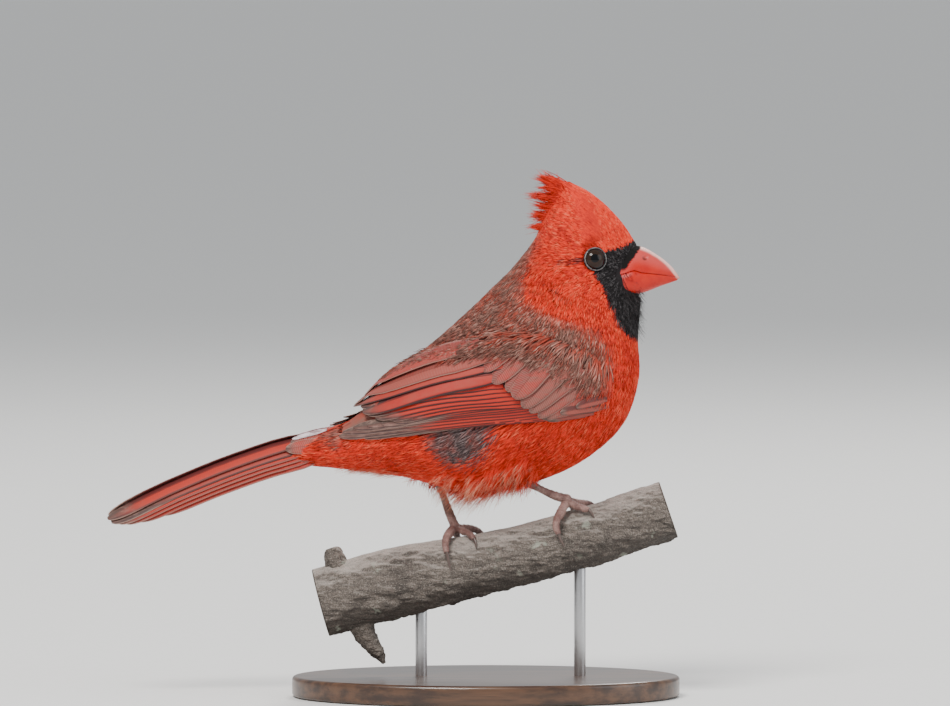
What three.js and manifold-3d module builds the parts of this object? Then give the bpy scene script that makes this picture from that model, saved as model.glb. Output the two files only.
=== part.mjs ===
// A male northern cardinal, life size, standing on a short length of branch
// that a plain wooden stand holds.
// Millimetres. +X is the way the bird faces, +Z is up, and the bird's right side is -Y.
// The origin is the middle of the stand's underside.
import * as THREE from "three";
import { mergeVertices } from "three/addons/utils/BufferGeometryUtils.js";
import Module from "manifold-3d";

const wasm = await Module();
wasm.setup();

// Driving sizes
const GAP = 0.32; // space left between pieces that touch
const VANE = 0.55; // thickness of a feather's vane
const APART = 0.3; // space between vanes that lie over one another
const BODY_SIDES = 24;

// The body is a stack of ovals. Each station gives the oval's two ends seen from the side,
// on the back and on the belly as [x, z], its half width, how far up from the belly it is
// widest, and how much it narrows in front.
const STATIONS = [
  { name: "tail coverts", back: [-61.5, 87.6], belly: [-64.5, 79.4], half: 5.6, widest: 0.45, narrow: 0 },
  { name: "rump", back: [-50.6, 91.8], belly: [-53.5, 78.4], half: 9, widest: 0.45, narrow: 0 },
  { name: "vent", back: [-40.4, 98.2], belly: [-41.6, 77.2], half: 13.5, widest: 0.45, narrow: 0 },
  { name: "loins", back: [-27.6, 111], belly: [-24.8, 74.8], half: 18.6, widest: 0.45, narrow: 0 },
  { name: "belly", back: [-14.4, 121.8], belly: [-3, 69.6], half: 22.6, widest: 0.46, narrow: 0.02 },
  { name: "flanks", back: [-2.4, 132.6], belly: [17, 72.8], half: 25, widest: 0.47, narrow: 0.04 },
  { name: "breast", back: [4.8, 139.6], belly: [35, 80.6], half: 25.6, widest: 0.48, narrow: 0.06 },
  { name: "shoulders", back: [10.6, 145.2], belly: [48.6, 93], half: 24, widest: 0.48, narrow: 0.08 },
  { name: "collar", back: [14, 149.4], belly: [53.9, 108.6], half: 20.4, widest: 0.49, narrow: 0.1 },
  { name: "throat", back: [17, 153.2], belly: [53.6, 121.6], half: 16.4, widest: 0.5, narrow: 0.18 },
  { name: "cheeks", back: [19.4, 157.2], belly: [54.4, 133.4], half: 13, widest: 0.5, narrow: 0.42 },
  { name: "eyes", back: [21.4, 162], belly: [54.8, 148.8], half: 11, widest: 0.5, narrow: 0.7 },
  { name: "forehead", back: [23.6, 166], belly: [50.2, 158.6], half: 9.2, widest: 0.5, narrow: 0.55 },
  { name: "crown", back: [26, 169.6], belly: [43.6, 166.4], half: 6.6, widest: 0.5, narrow: 0.3 },
  { name: "crest", back: [27.6, 172.6], belly: [37, 171.8], half: 3.6, widest: 0.5, narrow: 0.2 },
  { name: "crest end", back: [26.6, 175.2], belly: [31, 174.8], half: 1.6, widest: 0.5, narrow: 0 },
];
const LAST = STATIONS.length - 1;
const TORSO_END = 7.55; // in stations, along the body
const NECK_END = 9.6;

const smooth = (a, b, x) => {
  const t = Math.min(1, Math.max(0, (x - a) / (b - a)));
  return t * t * (3 - 2 * t);
};
const mix = (a, b, t) => a + (b - a) * t;
const mixPair = (a, b, t) => [mix(a[0], b[0], t), mix(a[1], b[1], t)];

// A seeded random number from 0 to 1, so that feathers vary in the same way on each run.
function seeded(seed) {
  let state = seed;
  return () => {
    state = (state * 16807) % 2147483647;
    return state / 2147483647;
  };
}

// A value that runs smoothly through one number per station.
function alongBody(u, pick) {
  const i = Math.min(LAST - 1, Math.max(0, Math.floor(u)));
  const t = u - i;
  const value = (k) => pick(STATIONS[Math.min(LAST, Math.max(0, k))]);
  const [a, b, c, d] = [value(i - 1), value(i), value(i + 1), value(i + 2)];
  const square = 2 * a - 5 * b + 4 * c - d;
  const cube = 3 * b - a - 3 * c + d;
  return 0.5 * (2 * b + (c - a) * t + square * t * t + cube * t ** 3);
}

// The oval at a place along the body, as its middle, its up direction in the XZ plane and its radii.
function oval(u) {
  const back = [alongBody(u, (s) => s.back[0]), alongBody(u, (s) => s.back[1])];
  const belly = [alongBody(u, (s) => s.belly[0]), alongBody(u, (s) => s.belly[1])];
  const widest = alongBody(u, (s) => s.widest);
  const height = Math.hypot(back[0] - belly[0], back[1] - belly[1]);
  return {
    middle: mixPair(belly, back, widest),
    up: [(back[0] - belly[0]) / height, (back[1] - belly[1]) / height],
    above: height * (1 - widest),
    below: height * widest,
    half: alongBody(u, (s) => s.half),
    narrow: alongBody(u, (s) => s.narrow),
  };
}

// A point of the body: angle 0 is the belly, a quarter turn the bird's right side
// and a half turn the back.
// lift moves it off the surface, and slide moves it along the body's own axis.
function bodyPoint(u, angle, lift = 0, slide = 0) {
  const o = oval(u);
  const down = Math.cos(angle);
  const reach = down > 0 ? -down * (o.below + lift) : -down * (o.above + lift);
  const side = -Math.sin(angle) * (o.half + lift) * (1 - o.narrow * down);
  return new THREE.Vector3(
    o.middle[0] + o.up[0] * reach + o.up[1] * slide,
    side,
    o.middle[1] + o.up[1] * reach - o.up[0] * slide,
  );
}

// The place on the bird's right side that lies at [x, z] seen from the side, as station and angle.
function onBody([x, z]) {
  let low = 0;
  let high = LAST;
  for (let step = 0; step < 40; step += 1) {
    const u = (low + high) / 2;
    const o = oval(u);
    const ahead = (x - o.middle[0]) * o.up[1] - (z - o.middle[1]) * o.up[0];
    if (ahead > 0) low = u;
    else high = u;
  }
  const o = oval(low);
  const rise = (x - o.middle[0]) * o.up[0] + (z - o.middle[1]) * o.up[1];
  const cosine = rise > 0 ? -rise / o.above : -rise / o.below;
  return [low, Math.acos(Math.min(0.999, Math.max(-0.999, cosine)))];
}

// Closed meshes
function meshOf(points, faces) {
  const geometry = new THREE.BufferGeometry();
  const numbers = points.flatMap((p) => [p.x, p.y, p.z]);
  geometry.setAttribute("position", new THREE.Float32BufferAttribute(numbers, 3));
  geometry.setIndex(faces.flat());
  return geometry;
}

function solid(geometry) {
  const bare = geometry.clone();
  bare.deleteAttribute("normal");
  bare.deleteAttribute("uv");
  const merged = mergeVertices(bare, 1e-4);
  return new wasm.Manifold(
    new wasm.Mesh({
      numProp: 3,
      vertProperties: merged.getAttribute("position").array,
      triVerts: new Uint32Array(merged.index.array),
    }),
  );
}

function geometryOf(manifold) {
  const mesh = manifold.getMesh();
  const geometry = new THREE.BufferGeometry();
  geometry.setAttribute("position", new THREE.BufferAttribute(new Float32Array(mesh.vertProperties), 3));
  geometry.setIndex(new THREE.BufferAttribute(new Uint32Array(mesh.triVerts), 1));
  return geometry;
}

// Keeps only the largest closed surface, which drops loose scraps and sealed hollows.
function largest(manifold) {
  return manifold.decompose().reduce((a, b) => (b.volume() > a.volume() ? b : a));
}

const joined = (solids) => solids.reduce((a, b) => a.add(b));

// Rings of equal length, closed by flat ends.
function stack(rings) {
  const sides = rings[0].length;
  const points = rings.flat();
  const faces = [];
  for (let r = 0; r < rings.length - 1; r += 1) {
    for (let k = 0; k < sides; k += 1) {
      const a = r * sides + k;
      const b = r * sides + ((k + 1) % sides);
      faces.push([a, b, b + sides], [a, b + sides, a + sides]);
    }
  }
  for (const [ring, first, flip] of [
    [rings[0], 0, true],
    [rings[rings.length - 1], (rings.length - 1) * sides, false],
  ]) {
    const middle = ring.reduce((sum, p) => sum.add(p), new THREE.Vector3()).divideScalar(sides);
    points.push(middle);
    for (let k = 0; k < sides; k += 1) {
      const pair = [first + k, first + ((k + 1) % sides)];
      faces.push(flip ? [pair[1], pair[0], points.length - 1] : [pair[0], pair[1], points.length - 1]);
    }
  }
  const made = solid(meshOf(points, faces));
  return made.volume() > 0 ? made : solid(meshOf(points, faces.map(([a, b, c]) => [a, c, b])));
}

function bodySolid(from, to, rings, lift = 0, slides = [0, 0]) {
  const made = [];
  for (let r = 0; r <= rings; r += 1) {
    const u = mix(from, to, r / rings);
    const slide = r === 0 ? slides[0] : r === rings ? slides[1] : 0;
    const ring = [];
    for (let k = 0; k < BODY_SIDES; k += 1) {
      ring.push(bodyPoint(u, (2 * Math.PI * k) / BODY_SIDES, lift, slide));
    }
    made.push(ring);
  }
  return stack(made);
}

// A round tube of changing radius along a smooth curve through a few points, each [x, y, z, radius].
function tube(route, steps, sides, grow = 0, extend = 0) {
  const places = route.map((p) => new THREE.Vector3(p[0], p[1], p[2]));
  const curve = new THREE.CatmullRomCurve3(places, false, "centripetal");
  const rings = [];
  const side = new THREE.Vector3();
  for (let r = 0; r <= steps; r += 1) {
    const t = r / steps;
    const forward = curve.getTangent(t);
    const middle = curve.getPoint(t);
    if (r === 0) middle.addScaledVector(forward, -extend);
    if (r === steps) middle.addScaledVector(forward, extend);
    const place = t * (route.length - 1);
    const i = Math.min(route.length - 2, Math.floor(place));
    const radius = mix(route[i][3], route[i + 1][3], place - i) + grow;
    if (r === 0) side.set(Math.abs(forward.x) < 0.8 ? 1 : 0, Math.abs(forward.x) < 0.8 ? 0 : 1, 0);
    side.addScaledVector(forward, -side.dot(forward)).normalize();
    const other = new THREE.Vector3().crossVectors(forward, side);
    const ring = [];
    for (let k = 0; k < sides; k += 1) {
      const a = (2 * Math.PI * k) / sides;
      const point = middle.clone().addScaledVector(side, radius * Math.cos(a));
      ring.push(point.addScaledVector(other, radius * Math.sin(a)));
    }
    rings.push(ring);
  }
  return stack(rings);
}

// A flat vane. path gives, for each step, its middle, the way out of the surface, its half width
// and how much higher one edge lies than the other.
function vane(path, thickness = VANE) {
  const rings = path.map(({ at, out, half, tilt = 0 }, i) => {
    const before = path[Math.max(0, i - 1)].at;
    const after = path[Math.min(path.length - 1, i + 1)].at;
    const forward = after.clone().sub(before).normalize();
    const across = new THREE.Vector3().crossVectors(out, forward).normalize();
    const up = new THREE.Vector3().crossVectors(forward, across).normalize();
    const place = (w, h) => at.clone().addScaledVector(across, w * half).addScaledVector(up, h + tilt * w);
    const t = thickness / 2;
    return [place(-1, -t), place(-1, t), place(1, t), place(1, -t)];
  });
  return stack(rings);
}

// Torso, neck and head, parted by thin cuts
const torsoCore = bodySolid(0, TORSO_END, 16, 0, [0, -GAP / 2]);
const neckCore = bodySolid(TORSO_END, NECK_END, 5, 0, [GAP / 2, -GAP / 2]);
const headCore = bodySolid(NECK_END, LAST, 12, 0, [GAP / 2, 0]);
const bodyAndGap = bodySolid(0, LAST, 29, GAP);

// Tail: twelve feathers that overlap like a low roof, rooted in one wedge under the coverts
const TAIL = {
  pairs: 6,
  route: [[-48, 87.6], [-79.4, 83], [-104, 72.4], [-126.9, 60.4]], // middle feathers, [x, z]
  half: 3.9,
  spread: 0.8, // sideways step from pair to pair at the tips
  droop: 0.3, // downward step from pair to pair at the tips, beside that of their layers
  lean: 0.16, // how much more each pair tips outwards
  shorter: 3, // each pair ends this much short of the last
  outer: 2.4, // and the outermost ones by this much more
};

function tailFeather(pair, side, grow) {
  const steps = 5;
  const curve = new THREE.SplineCurve(TAIL.route.map(([x, z]) => new THREE.Vector2(x, z)));
  const path = [];
  const share = 1 - (pair * TAIL.shorter + Math.max(0, pair - 3) * TAIL.outer) / curve.getLength();
  const level = pair + (pair === 0 && side > 0 ? 0.5 : pair > 0 ? 0.5 : 0);
  for (let i = 0; i <= steps; i += 1) {
    const t = i / steps;
    const place = curve.getPoint(t * share);
    const taper = Math.sqrt(Math.max(0.09, 1 - smooth(0.72, 1.06, t)));
    const half = TAIL.half * mix(0.4, 1, smooth(0, 0.4, t)) * taper;
    const wide = TAIL.half * mix(0.4, 1, smooth(0, 0.4, t));
    const aside = pair === 0 ? 1.1 : wide + 0.3 + pair * TAIL.spread * smooth(0, 0.8, t);
    const sink = level * (VANE + APART) * smooth(0.02, 0.22, t) + pair * TAIL.droop * t;
    path.push({
      at: new THREE.Vector3(place.x, side * aside, place.y - sink),
      out: new THREE.Vector3(0.3, (pair * TAIL.lean + 0.04) * side, 1).normalize(),
      half: half + grow,
    });
  }
  return vane(path, VANE + 2 * grow);
}

function tailSolid(grow) {
  const feathers = [];
  for (let pair = 0; pair < TAIL.pairs; pair += 1) {
    for (const side of [-1, 1]) feathers.push(tailFeather(pair, side, grow));
  }
  const root = tube([[-46, 0, 86.4, 3.2], [-56, 0, 85, 2.8], [-65, 0, 83.2, 1.6]], 4, 10, grow, grow);
  return joined([...feathers, root]);
}
const tail = largest(tailSolid(0));

// Wings: tiers of feathers on a thin core that lies on the flank. Places are [x, z] seen from the side.
const WING_EDGE = {
  lower: [[42.6, 102.6], [36.6, 96.4], [8, 92.2], [-14, 91.2], [-30, 90.6]],
  upper: [[42.6, 106.6], [35, 112.6], [4, 114.6], [-18, 111.4], [-37, 101]],
  thick: 1.15,
};
const TIERS = [
  {
    name: "primaries", count: 5, root: [[36, 96.4], [24, 99]], tip: [[-48, 89], [-31, 91.6]],
    half: [1.8, 2.5], lift: [1.6, 1.7],
  },
  {
    name: "secondaries", count: 5, root: [[22, 101], [6, 108]], tip: [[-30, 93], [-41.6, 97.6]],
    half: [2.4, 3.1], lift: [2, 2.2],
  },
  {
    name: "tertials", count: 3, root: [[2, 109.5], [-4, 113.6]], tip: [[-42, 98.8], [-36.4, 104.4]],
    half: [3.8, 4.1], lift: [2.7, 2.8],
  },
  {
    name: "primary coverts", count: 2, root: [[38, 98.4], [33, 101.5]], tip: [[20, 96.4], [17.4, 99.6]],
    half: [1.7, 2], lift: [2.6, 2.8],
  },
  {
    name: "greater coverts", count: 5, root: [[36, 101.6], [5, 112.6]], tip: [[18.6, 100], [-6, 106.4]],
    half: [3.2, 4.8], lift: [3, 3.3],
  },
  {
    name: "median coverts", count: 4, root: [[40, 105], [13, 114]], tip: [[28, 103], [4, 110]],
    half: [3.4, 4], lift: [3.4, 3.6],
  },
  {
    name: "alula", count: 2, root: [[41.6, 101], [41.4, 103.4]], tip: [[26.4, 98.9], [30.4, 101]],
    half: [1.6, 1.7], lift: [3.5, 3.7],
  },
];

const sidePoint = (place, lift) => bodyPoint(...onBody(place), lift);

// Each feather lies tipped, its upper edge under the next one, as far as their spacing asks for.
function wingFeather(tier, index, random) {
  const share = index / (tier.count - 1);
  const root = mixPair(...tier.root, share);
  const tip = mixPair(...tier.tip, share);
  const along = new THREE.Vector2(tip[0] - root[0], tip[1] - root[1]);
  const step = new THREE.Vector2(
    tier.root[1][0] - tier.root[0][0] + tier.tip[1][0] - tier.tip[0][0],
    tier.root[1][1] - tier.root[0][1] + tier.tip[1][1] - tier.tip[0][1],
  ).divideScalar(2 * (tier.count - 1));
  const spacing = Math.abs(step.cross(along)) / along.length();
  const slope = Math.min(0.5, (VANE + APART) / spacing);
  const wander = (random() - 0.5) * 0.6;
  const steps = along.length() > 30 ? 4 : 3;
  const bow = 0.035 * along.length();
  const lift = mix(...tier.lift, share);
  const path = [];
  for (let i = 0; i <= steps; i += 1) {
    const t = i / steps;
    const [x, z] = mixPair(root, tip, t);
    const place = [x, z + bow * 4 * t * (1 - t) + wander * t];
    const raised = mix(lift - 1.4, lift, smooth(0, 0.5, t));
    const at = sidePoint(place, raised);
    const taper = Math.sqrt(Math.max(0.12, 1 - smooth(0.7, 1.08, t)));
    const half = mix(...tier.half, share) * (0.6 + 0.4 * smooth(0, 0.3, t)) * taper;
    path.push({ at, out: sidePoint(place, raised + 1).sub(at).normalize(), half, tilt: slope * half });
  }
  return vane(path);
}

function wingCore() {
  const alongSteps = 7;
  const acrossSteps = 3;
  const line = (points) => new THREE.SplineCurve(points.map(([x, z]) => new THREE.Vector2(x, z)));
  const [lower, upper] = [line(WING_EDGE.lower), line(WING_EDGE.upper)];
  const rings = [];
  for (let i = 0; i <= alongSteps; i += 1) {
    const a = lower.getPoint(i / alongSteps);
    const b = upper.getPoint(i / alongSteps);
    const outer = [];
    const inner = [];
    for (let k = 0; k <= acrossSteps; k += 1) {
      const t = k / acrossSteps;
      const place = [mix(a.x, b.x, t), mix(a.y, b.y, t)];
      outer.push(sidePoint(place, WING_EDGE.thick));
      inner.push(sidePoint(place, -0.6));
    }
    rings.push([...outer, ...inner.reverse()]);
  }
  return stack(rings);
}

function wingSolid() {
  const random = seeded(71);
  const pieces = [wingCore()];
  for (const tier of TIERS) {
    for (let i = 0; i < tier.count; i += 1) pieces.push(wingFeather(tier, i, random));
  }
  const cut = joined(pieces).subtract(bodyAndGap).trimByPlane([0, -1, 0], GAP / 2);
  return largest(cut);
}
const rightWing = wingSolid();
const leftWing = rightWing.mirror([0, 1, 0]);

// Legs and feet. Points are [x, y, z, radius]: the leg runs from inside the belly to the foot's joint,
// and toes run from the joint round the branch, each ending in a claw.
const LEGS = {
  right: {
    leg: [[6, -9.6, 80.4, 2.7], [13.6, -8.6, 74.6, 2], [21.6, -6.4, 70.4, 1.45], [29.4, -3.6, 67.4, 1.75]],
    toes: {
      hind: [
        [29.6, -3.8, 66.6, 1.6], [27.4, -7.4, 63.2, 1.55], [25.8, -11, 59.8, 1.25],
        [26.6, -12.5, 56, 0.95], [28.6, -11.9, 51.6, 0.3],
      ],
      outer: [
        [30.2, -4.2, 66.4, 1.45], [32.4, -5.4, 65.4, 1.35], [34.8, -6.4, 64.6, 1.25],
        [37, -7.4, 63.8, 0.9], [38.8, -8.8, 61.4, 0.25],
      ],
      middle: [
        [30.4, -3.4, 66.6, 1.5], [34, 0.2, 65.8, 1.3], [37.4, 4.6, 65, 1.2], [39.6, 8.6, 62.4, 0.95],
        [40.8, 11.4, 58.4, 0.25],
      ],
      inner: [
        [29.8, -3, 66.6, 1.35], [31, 1.8, 65.4, 1.2], [31.8, 6.2, 63.4, 1.1], [32.4, 9.8, 60.2, 0.9],
        [33, 11.6, 56.4, 0.25],
      ],
    },
  },
  left: {
    leg: [[-19.4, 8.6, 86, 2.8], [-16, 7.4, 77, 2], [-12.4, 4.4, 67.6, 1.4], [-8.6, 0.8, 57.8, 1.7]],
    toes: {
      hind: [
        [-9, 0.4, 57, 1.55], [-10.4, -3.8, 55.9, 1.5], [-11.7, -8.4, 53.7, 1.25],
        [-11.3, -11.9, 49.6, 0.95], [-9.9, -12.9, 43.6, 0.3],
      ],
      inner: [
        [-8.2, 0.6, 56.9, 1.4], [-5.8, -1.6, 56.4, 1.25], [-3.6, -4.4, 55.6, 1.15], [-2, -7, 54, 0.85],
        [-1.2, -8.8, 51, 0.25],
      ],
      middle: [
        [-8.2, 1.4, 57, 1.5], [-4.2, 3.8, 57, 1.3], [-0.6, 7.4, 55.6, 1.2], [1.6, 10.8, 52.2, 0.95],
        [2.2, 12.4, 48, 0.25],
      ],
      outer: [
        [-9, 1.8, 56.8, 1.35], [-8.2, 6.2, 55.4, 1.2], [-7.4, 10, 52.2, 1.1], [-6.8, 12.6, 48, 0.9],
        [-6.4, 13, 43.8, 0.25],
      ],
    },
  },
};

function footSolid({ leg, toes }, grow) {
  const joint = leg[leg.length - 1];
  const ball = new THREE.SphereGeometry(joint[3] + 0.35 + grow, 10, 8);
  ball.translate(joint[0], joint[1], joint[2]);
  const pieces = [tube(leg, 6, 8, grow), solid(ball)];
  for (const route of Object.values(toes)) pieces.push(tube(route, 7, 6, grow, grow));
  return joined(pieces);
}
const rightLeg = largest(footSolid(LEGS.right, 0));
const leftLeg = largest(footSolid(LEGS.left, 0));
const legsAndGap = footSolid(LEGS.right, GAP).add(footSolid(LEGS.left, GAP));

// Torso: tail coverts above and below the tail's root, and the loose fringe of the belly
const COVERTS = [
  { name: "upper", count: 5, from: [-50.5, 90.4], to: [-66, 86.2], angles: [2.2, 4.08], half: 3.1 },
  { name: "lower", count: 5, from: [-48, 79.4], to: [-62, 79.6], angles: [-0.8, 0.8], half: 3 },
];
const FRINGE = { rows: 3, count: 5, from: [-4, 17], length: 9.4, half: 2.7, wide: 8.5 };

function covert(tier, index) {
  const share = index / (tier.count - 1);
  const angle = mix(...tier.angles, share);
  const reach = Math.sin(angle);
  const crown = 1 - Math.abs(2 * share - 1);
  const path = [];
  for (let i = 0; i <= 3; i += 1) {
    const t = i / 3;
    const radius = mix(7.4, 4.6, t) * Math.abs(reach);
    const along = mix(tier.from[0], tier.to[0] + 3.4 * (1 - crown), t);
    const drop = (1 - Math.abs(Math.cos(angle))) * (tier.name === "upper" ? -5.4 : 3.6);
    path.push({
      at: new THREE.Vector3(along, -Math.sign(reach) * radius, mix(tier.from[1], tier.to[1], t) + drop),
      out: new THREE.Vector3(tier.name === "upper" ? 0.28 : 0, -reach, -Math.cos(angle)).normalize(),
      half: tier.half * Math.sqrt(Math.max(0.12, 1 - smooth(0.55, 1.06, t))),
    });
  }
  return vane(path, 1.1);
}

function fringeLock(row, index, random) {
  const t = index / (FRINGE.count - 1);
  const across = (row - (FRINGE.rows - 1) / 2) / ((FRINGE.rows - 1) / 2);
  const x = mix(...FRINGE.from, t) + (random() - 0.5) * 2;
  const floor = bodyPoint(onBody([x, 78])[0], 0).z;
  const longest = FRINGE.length * (0.55 + 0.45 * Math.sin(Math.PI * Math.min(0.9, t + 0.12)));
  const length = longest * (0.85 + 0.3 * random());
  const y = across * FRINGE.wide * 0.7 + (random() - 0.5) * 1.6;
  const start = new THREE.Vector3(x + 3, y, floor + 3.4 + 1.6 * across ** 2);
  const path = [];
  for (let i = 0; i <= 3; i += 1) {
    const s = i / 3;
    const back = -0.62 * length * s - 1.6 * s;
    const down = -length * 0.95 * s ** 1.15;
    path.push({
      at: start.clone().add(new THREE.Vector3(back, across * 0.8 * s, down)),
      out: new THREE.Vector3(0.5, across * 0.6 - 0.3, -0.4).normalize(),
      half: FRINGE.half * (1 - 0.9 * s ** 2) + 0.1,
    });
  }
  return vane(path, 0.9);
}

function torsoSolid() {
  const random = seeded(29);
  const pieces = [torsoCore];
  for (const tier of COVERTS) {
    for (let i = 0; i < tier.count; i += 1) pieces.push(covert(tier, i));
  }
  for (let row = 0; row < FRINGE.rows; row += 1) {
    for (let i = 0; i < FRINGE.count; i += 1) pieces.push(fringeLock(row, i, random));
  }
  return largest(joined(pieces).subtract(tailSolid(GAP)).subtract(legsAndGap));
}

// Eyes, set in sockets with a raised lid round each
const EYE = { at: [39.1, 149.2], radius: 3.9, sunk: 2, lid: 0.55 };
const eyeMiddle = sidePoint(EYE.at, -EYE.sunk);
const eyeOut = sidePoint(EYE.at, 1).sub(sidePoint(EYE.at, 0)).normalize();
const mirrored = (v) => new THREE.Vector3(v.x, -v.y, v.z);

function sphereAt(middle, radius) {
  return solid(new THREE.SphereGeometry(radius, 14, 10).translate(middle.x, middle.y, middle.z));
}

function lidRing(middle, out) {
  const rise = EYE.sunk * 0.85;
  const ring = new THREE.TorusGeometry(Math.sqrt(EYE.radius ** 2 - rise ** 2) + 0.3, EYE.lid, 4, 14);
  ring.applyQuaternion(new THREE.Quaternion().setFromUnitVectors(new THREE.Vector3(0, 0, 1), out));
  const place = middle.clone().addScaledVector(out, rise);
  return solid(ring.translate(place.x, place.y, place.z));
}

// Bill: two halves that meet at the line of the mouth. Points are [x, z], from inside the face
// to the tip.
const BILL = {
  culmen: [[44, 153.6], [54, 153.2], [60.6, 150.2], [65.2, 146.4], [67.9, 142.4]],
  mouth: [[42, 143.2], [48.4, 145], [54.6, 144.8], [61.6, 143.9], [67.3, 142.1]],
  gonys: [[43, 138.8], [49.6, 137.3], [55.6, 137.6], [61.2, 139.6], [66.9, 141.6]],
  half: [6, 5.9, 4.9, 2.9, 0.5],
};

function billHalf(ridge, upper) {
  const steps = 7;
  const arc = 8;
  const line = (points) => new THREE.SplineCurve(points.map(([x, z]) => new THREE.Vector2(x, z)));
  const [top, mouth] = [line(ridge), line(BILL.mouth)];
  const width = line(BILL.half.map((h, i) => [i, h]));
  const rings = [];
  for (let i = 0; i <= steps; i += 1) {
    const a = top.getPoint(i / steps);
    const b = mouth.getPoint(i / steps);
    const half = width.getPoint(i / steps).y * (upper ? 1 : 0.92);
    const lip = upper ? GAP / 2 : -GAP / 2;
    const ring = [];
    for (let k = 0; k <= arc; k += 1) {
      const angle = Math.PI * (k / arc - 0.5);
      const rise = Math.cos(angle) ** 0.85;
      ring.push(new THREE.Vector3(mix(b.x, a.x, rise), half * Math.sin(angle), mix(b.y + lip, a.y, rise)));
    }
    rings.push(ring);
  }
  return stack(rings);
}

function nostril(side) {
  const pit = new THREE.SphereGeometry(1, 8, 5).scale(1.1, 0.7, 0.6).rotateY(0.5);
  return solid(pit.translate(56.4, side * 4.1, 149.2));
}

const upperHorn = billHalf(BILL.culmen, true).subtract(bodyAndGap);
const upperBill = largest(upperHorn.subtract(nostril(1)).subtract(nostril(-1)));
const lowerBill = largest(billHalf(BILL.gonys, false).subtract(bodyAndGap));

// Crest: long narrow feathers that rise from the forehead and crown and fan out behind.
// Each tier runs from its first feather, on the middle line, to its last, low on the side of the head.
const CREST = [
  {
    count: 3, root: [[44.8, 162.2], [41, 160.4]], bend: [[34.4, 171], [32.8, 169.4]],
    tip: [[20.6, 177.2], [18.2, 175.6]], side: [0, 2.8], half: 1.6,
  },
  {
    count: 3, root: [[42, 162], [36, 160]], bend: [[31.6, 169], [29.2, 166.6]],
    tip: [[18.4, 172], [17, 169.4]], side: [0.6, 4.2], half: 1.8,
  },
  {
    count: 3, root: [[38, 160], [32, 157.6]], bend: [[29.2, 165.4], [26.4, 163]],
    tip: [[17.4, 166.8], [18.4, 163.8]], side: [0.8, 5.2], half: 2,
  },
  {
    count: 2, root: [[34, 158], [30, 155.6]], bend: [[26.4, 162], [24.4, 160]],
    tip: [[17.2, 161], [17, 158.6]], side: [1.2, 5.4], half: 2,
  },
];

function crestFeather(tier, index, side) {
  const share = index / (tier.count - 1);
  const points = [mixPair(...tier.root, share), mixPair(...tier.bend, share), mixPair(...tier.tip, share)];
  const curve = new THREE.SplineCurve(points.map(([x, z]) => new THREE.Vector2(x, z)));
  const out = mix(...tier.side, share) * side;
  const path = [];
  for (let i = 0; i <= 3; i += 1) {
    const t = i / 3;
    const place = curve.getPoint(t);
    const lean = Math.min(0.95, Math.abs(out) / 5 + 0.12) * (side || 1);
    const upright = 1 - Math.abs(lean);
    path.push({
      at: new THREE.Vector3(place.x, out * (1 - 0.45 * t ** 2), place.y),
      out: new THREE.Vector3(0.35 * upright, lean, 0.9 * upright + 0.15).normalize(),
      half: tier.half * (0.7 + 0.6 * t) * Math.sqrt(Math.max(0.04, 1 - smooth(0.5, 1.04, t))),
    });
  }
  return vane(path, 0.75);
}

function headSolid() {
  const pieces = [headCore, lidRing(eyeMiddle, eyeOut), lidRing(mirrored(eyeMiddle), mirrored(eyeOut))];
  for (const tier of CREST) {
    for (let i = 0; i < tier.count; i += 1) {
      const sides = i === 0 && tier.side[0] === 0 ? [0] : [-1, 1];
      for (const side of sides) pieces.push(crestFeather(tier, i, side));
    }
  }
  const sockets = [eyeMiddle, mirrored(eyeMiddle)].map((m) => sphereAt(m, EYE.radius + GAP));
  return largest(joined(pieces).subtract(sockets[0]).subtract(sockets[1]));
}

// Branch: a gently bent, rough length with two knots of broken twigs, held by two rods on a flat base
const BRANCH = {
  route: [
    [-54, 31.8, 12], [-27, 39, 12.2], [-8.5, 42.9, 11.1], [10.9, 47.2, 10.5], [32, 53, 10.3],
    [47.6, 58, 10.2], [64, 63.6, 10.2],
  ],
  rough: 0.5,
};
const STUBS = [
  [[-46.6, 0, 36, 5.6], [-48.4, -0.6, 44, 4.6], [-50.2, -1, 49.4, 3.3], [-50.6, -1, 50.6, 2.2]],
  [
    [-43.6, -1, 34, 5.4], [-41.4, -1.4, 26, 4.8], [-38, -1.8, 19.4, 3.6], [-34.8, -2, 14.8, 2.4],
    [-32.4, -2, 11.4, 0.9],
  ],
];
const BASE = { length: 132, depth: 84, height: 7, bevel: 1.2, x: 2 };
const RODS = { radius: 2, x: [-20, 34], into: 5 };

// The branch's middle height and radius at a place along it.
function branchAt(x) {
  const route = BRANCH.route;
  const i = Math.max(0, route.findIndex((p) => p[0] >= x) - 1);
  const t = (x - route[i][0]) / (route[i + 1][0] - route[i][0]);
  return [mix(route[i][1], route[i + 1][1], t), mix(route[i][2], route[i + 1][2], t)];
}

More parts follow.
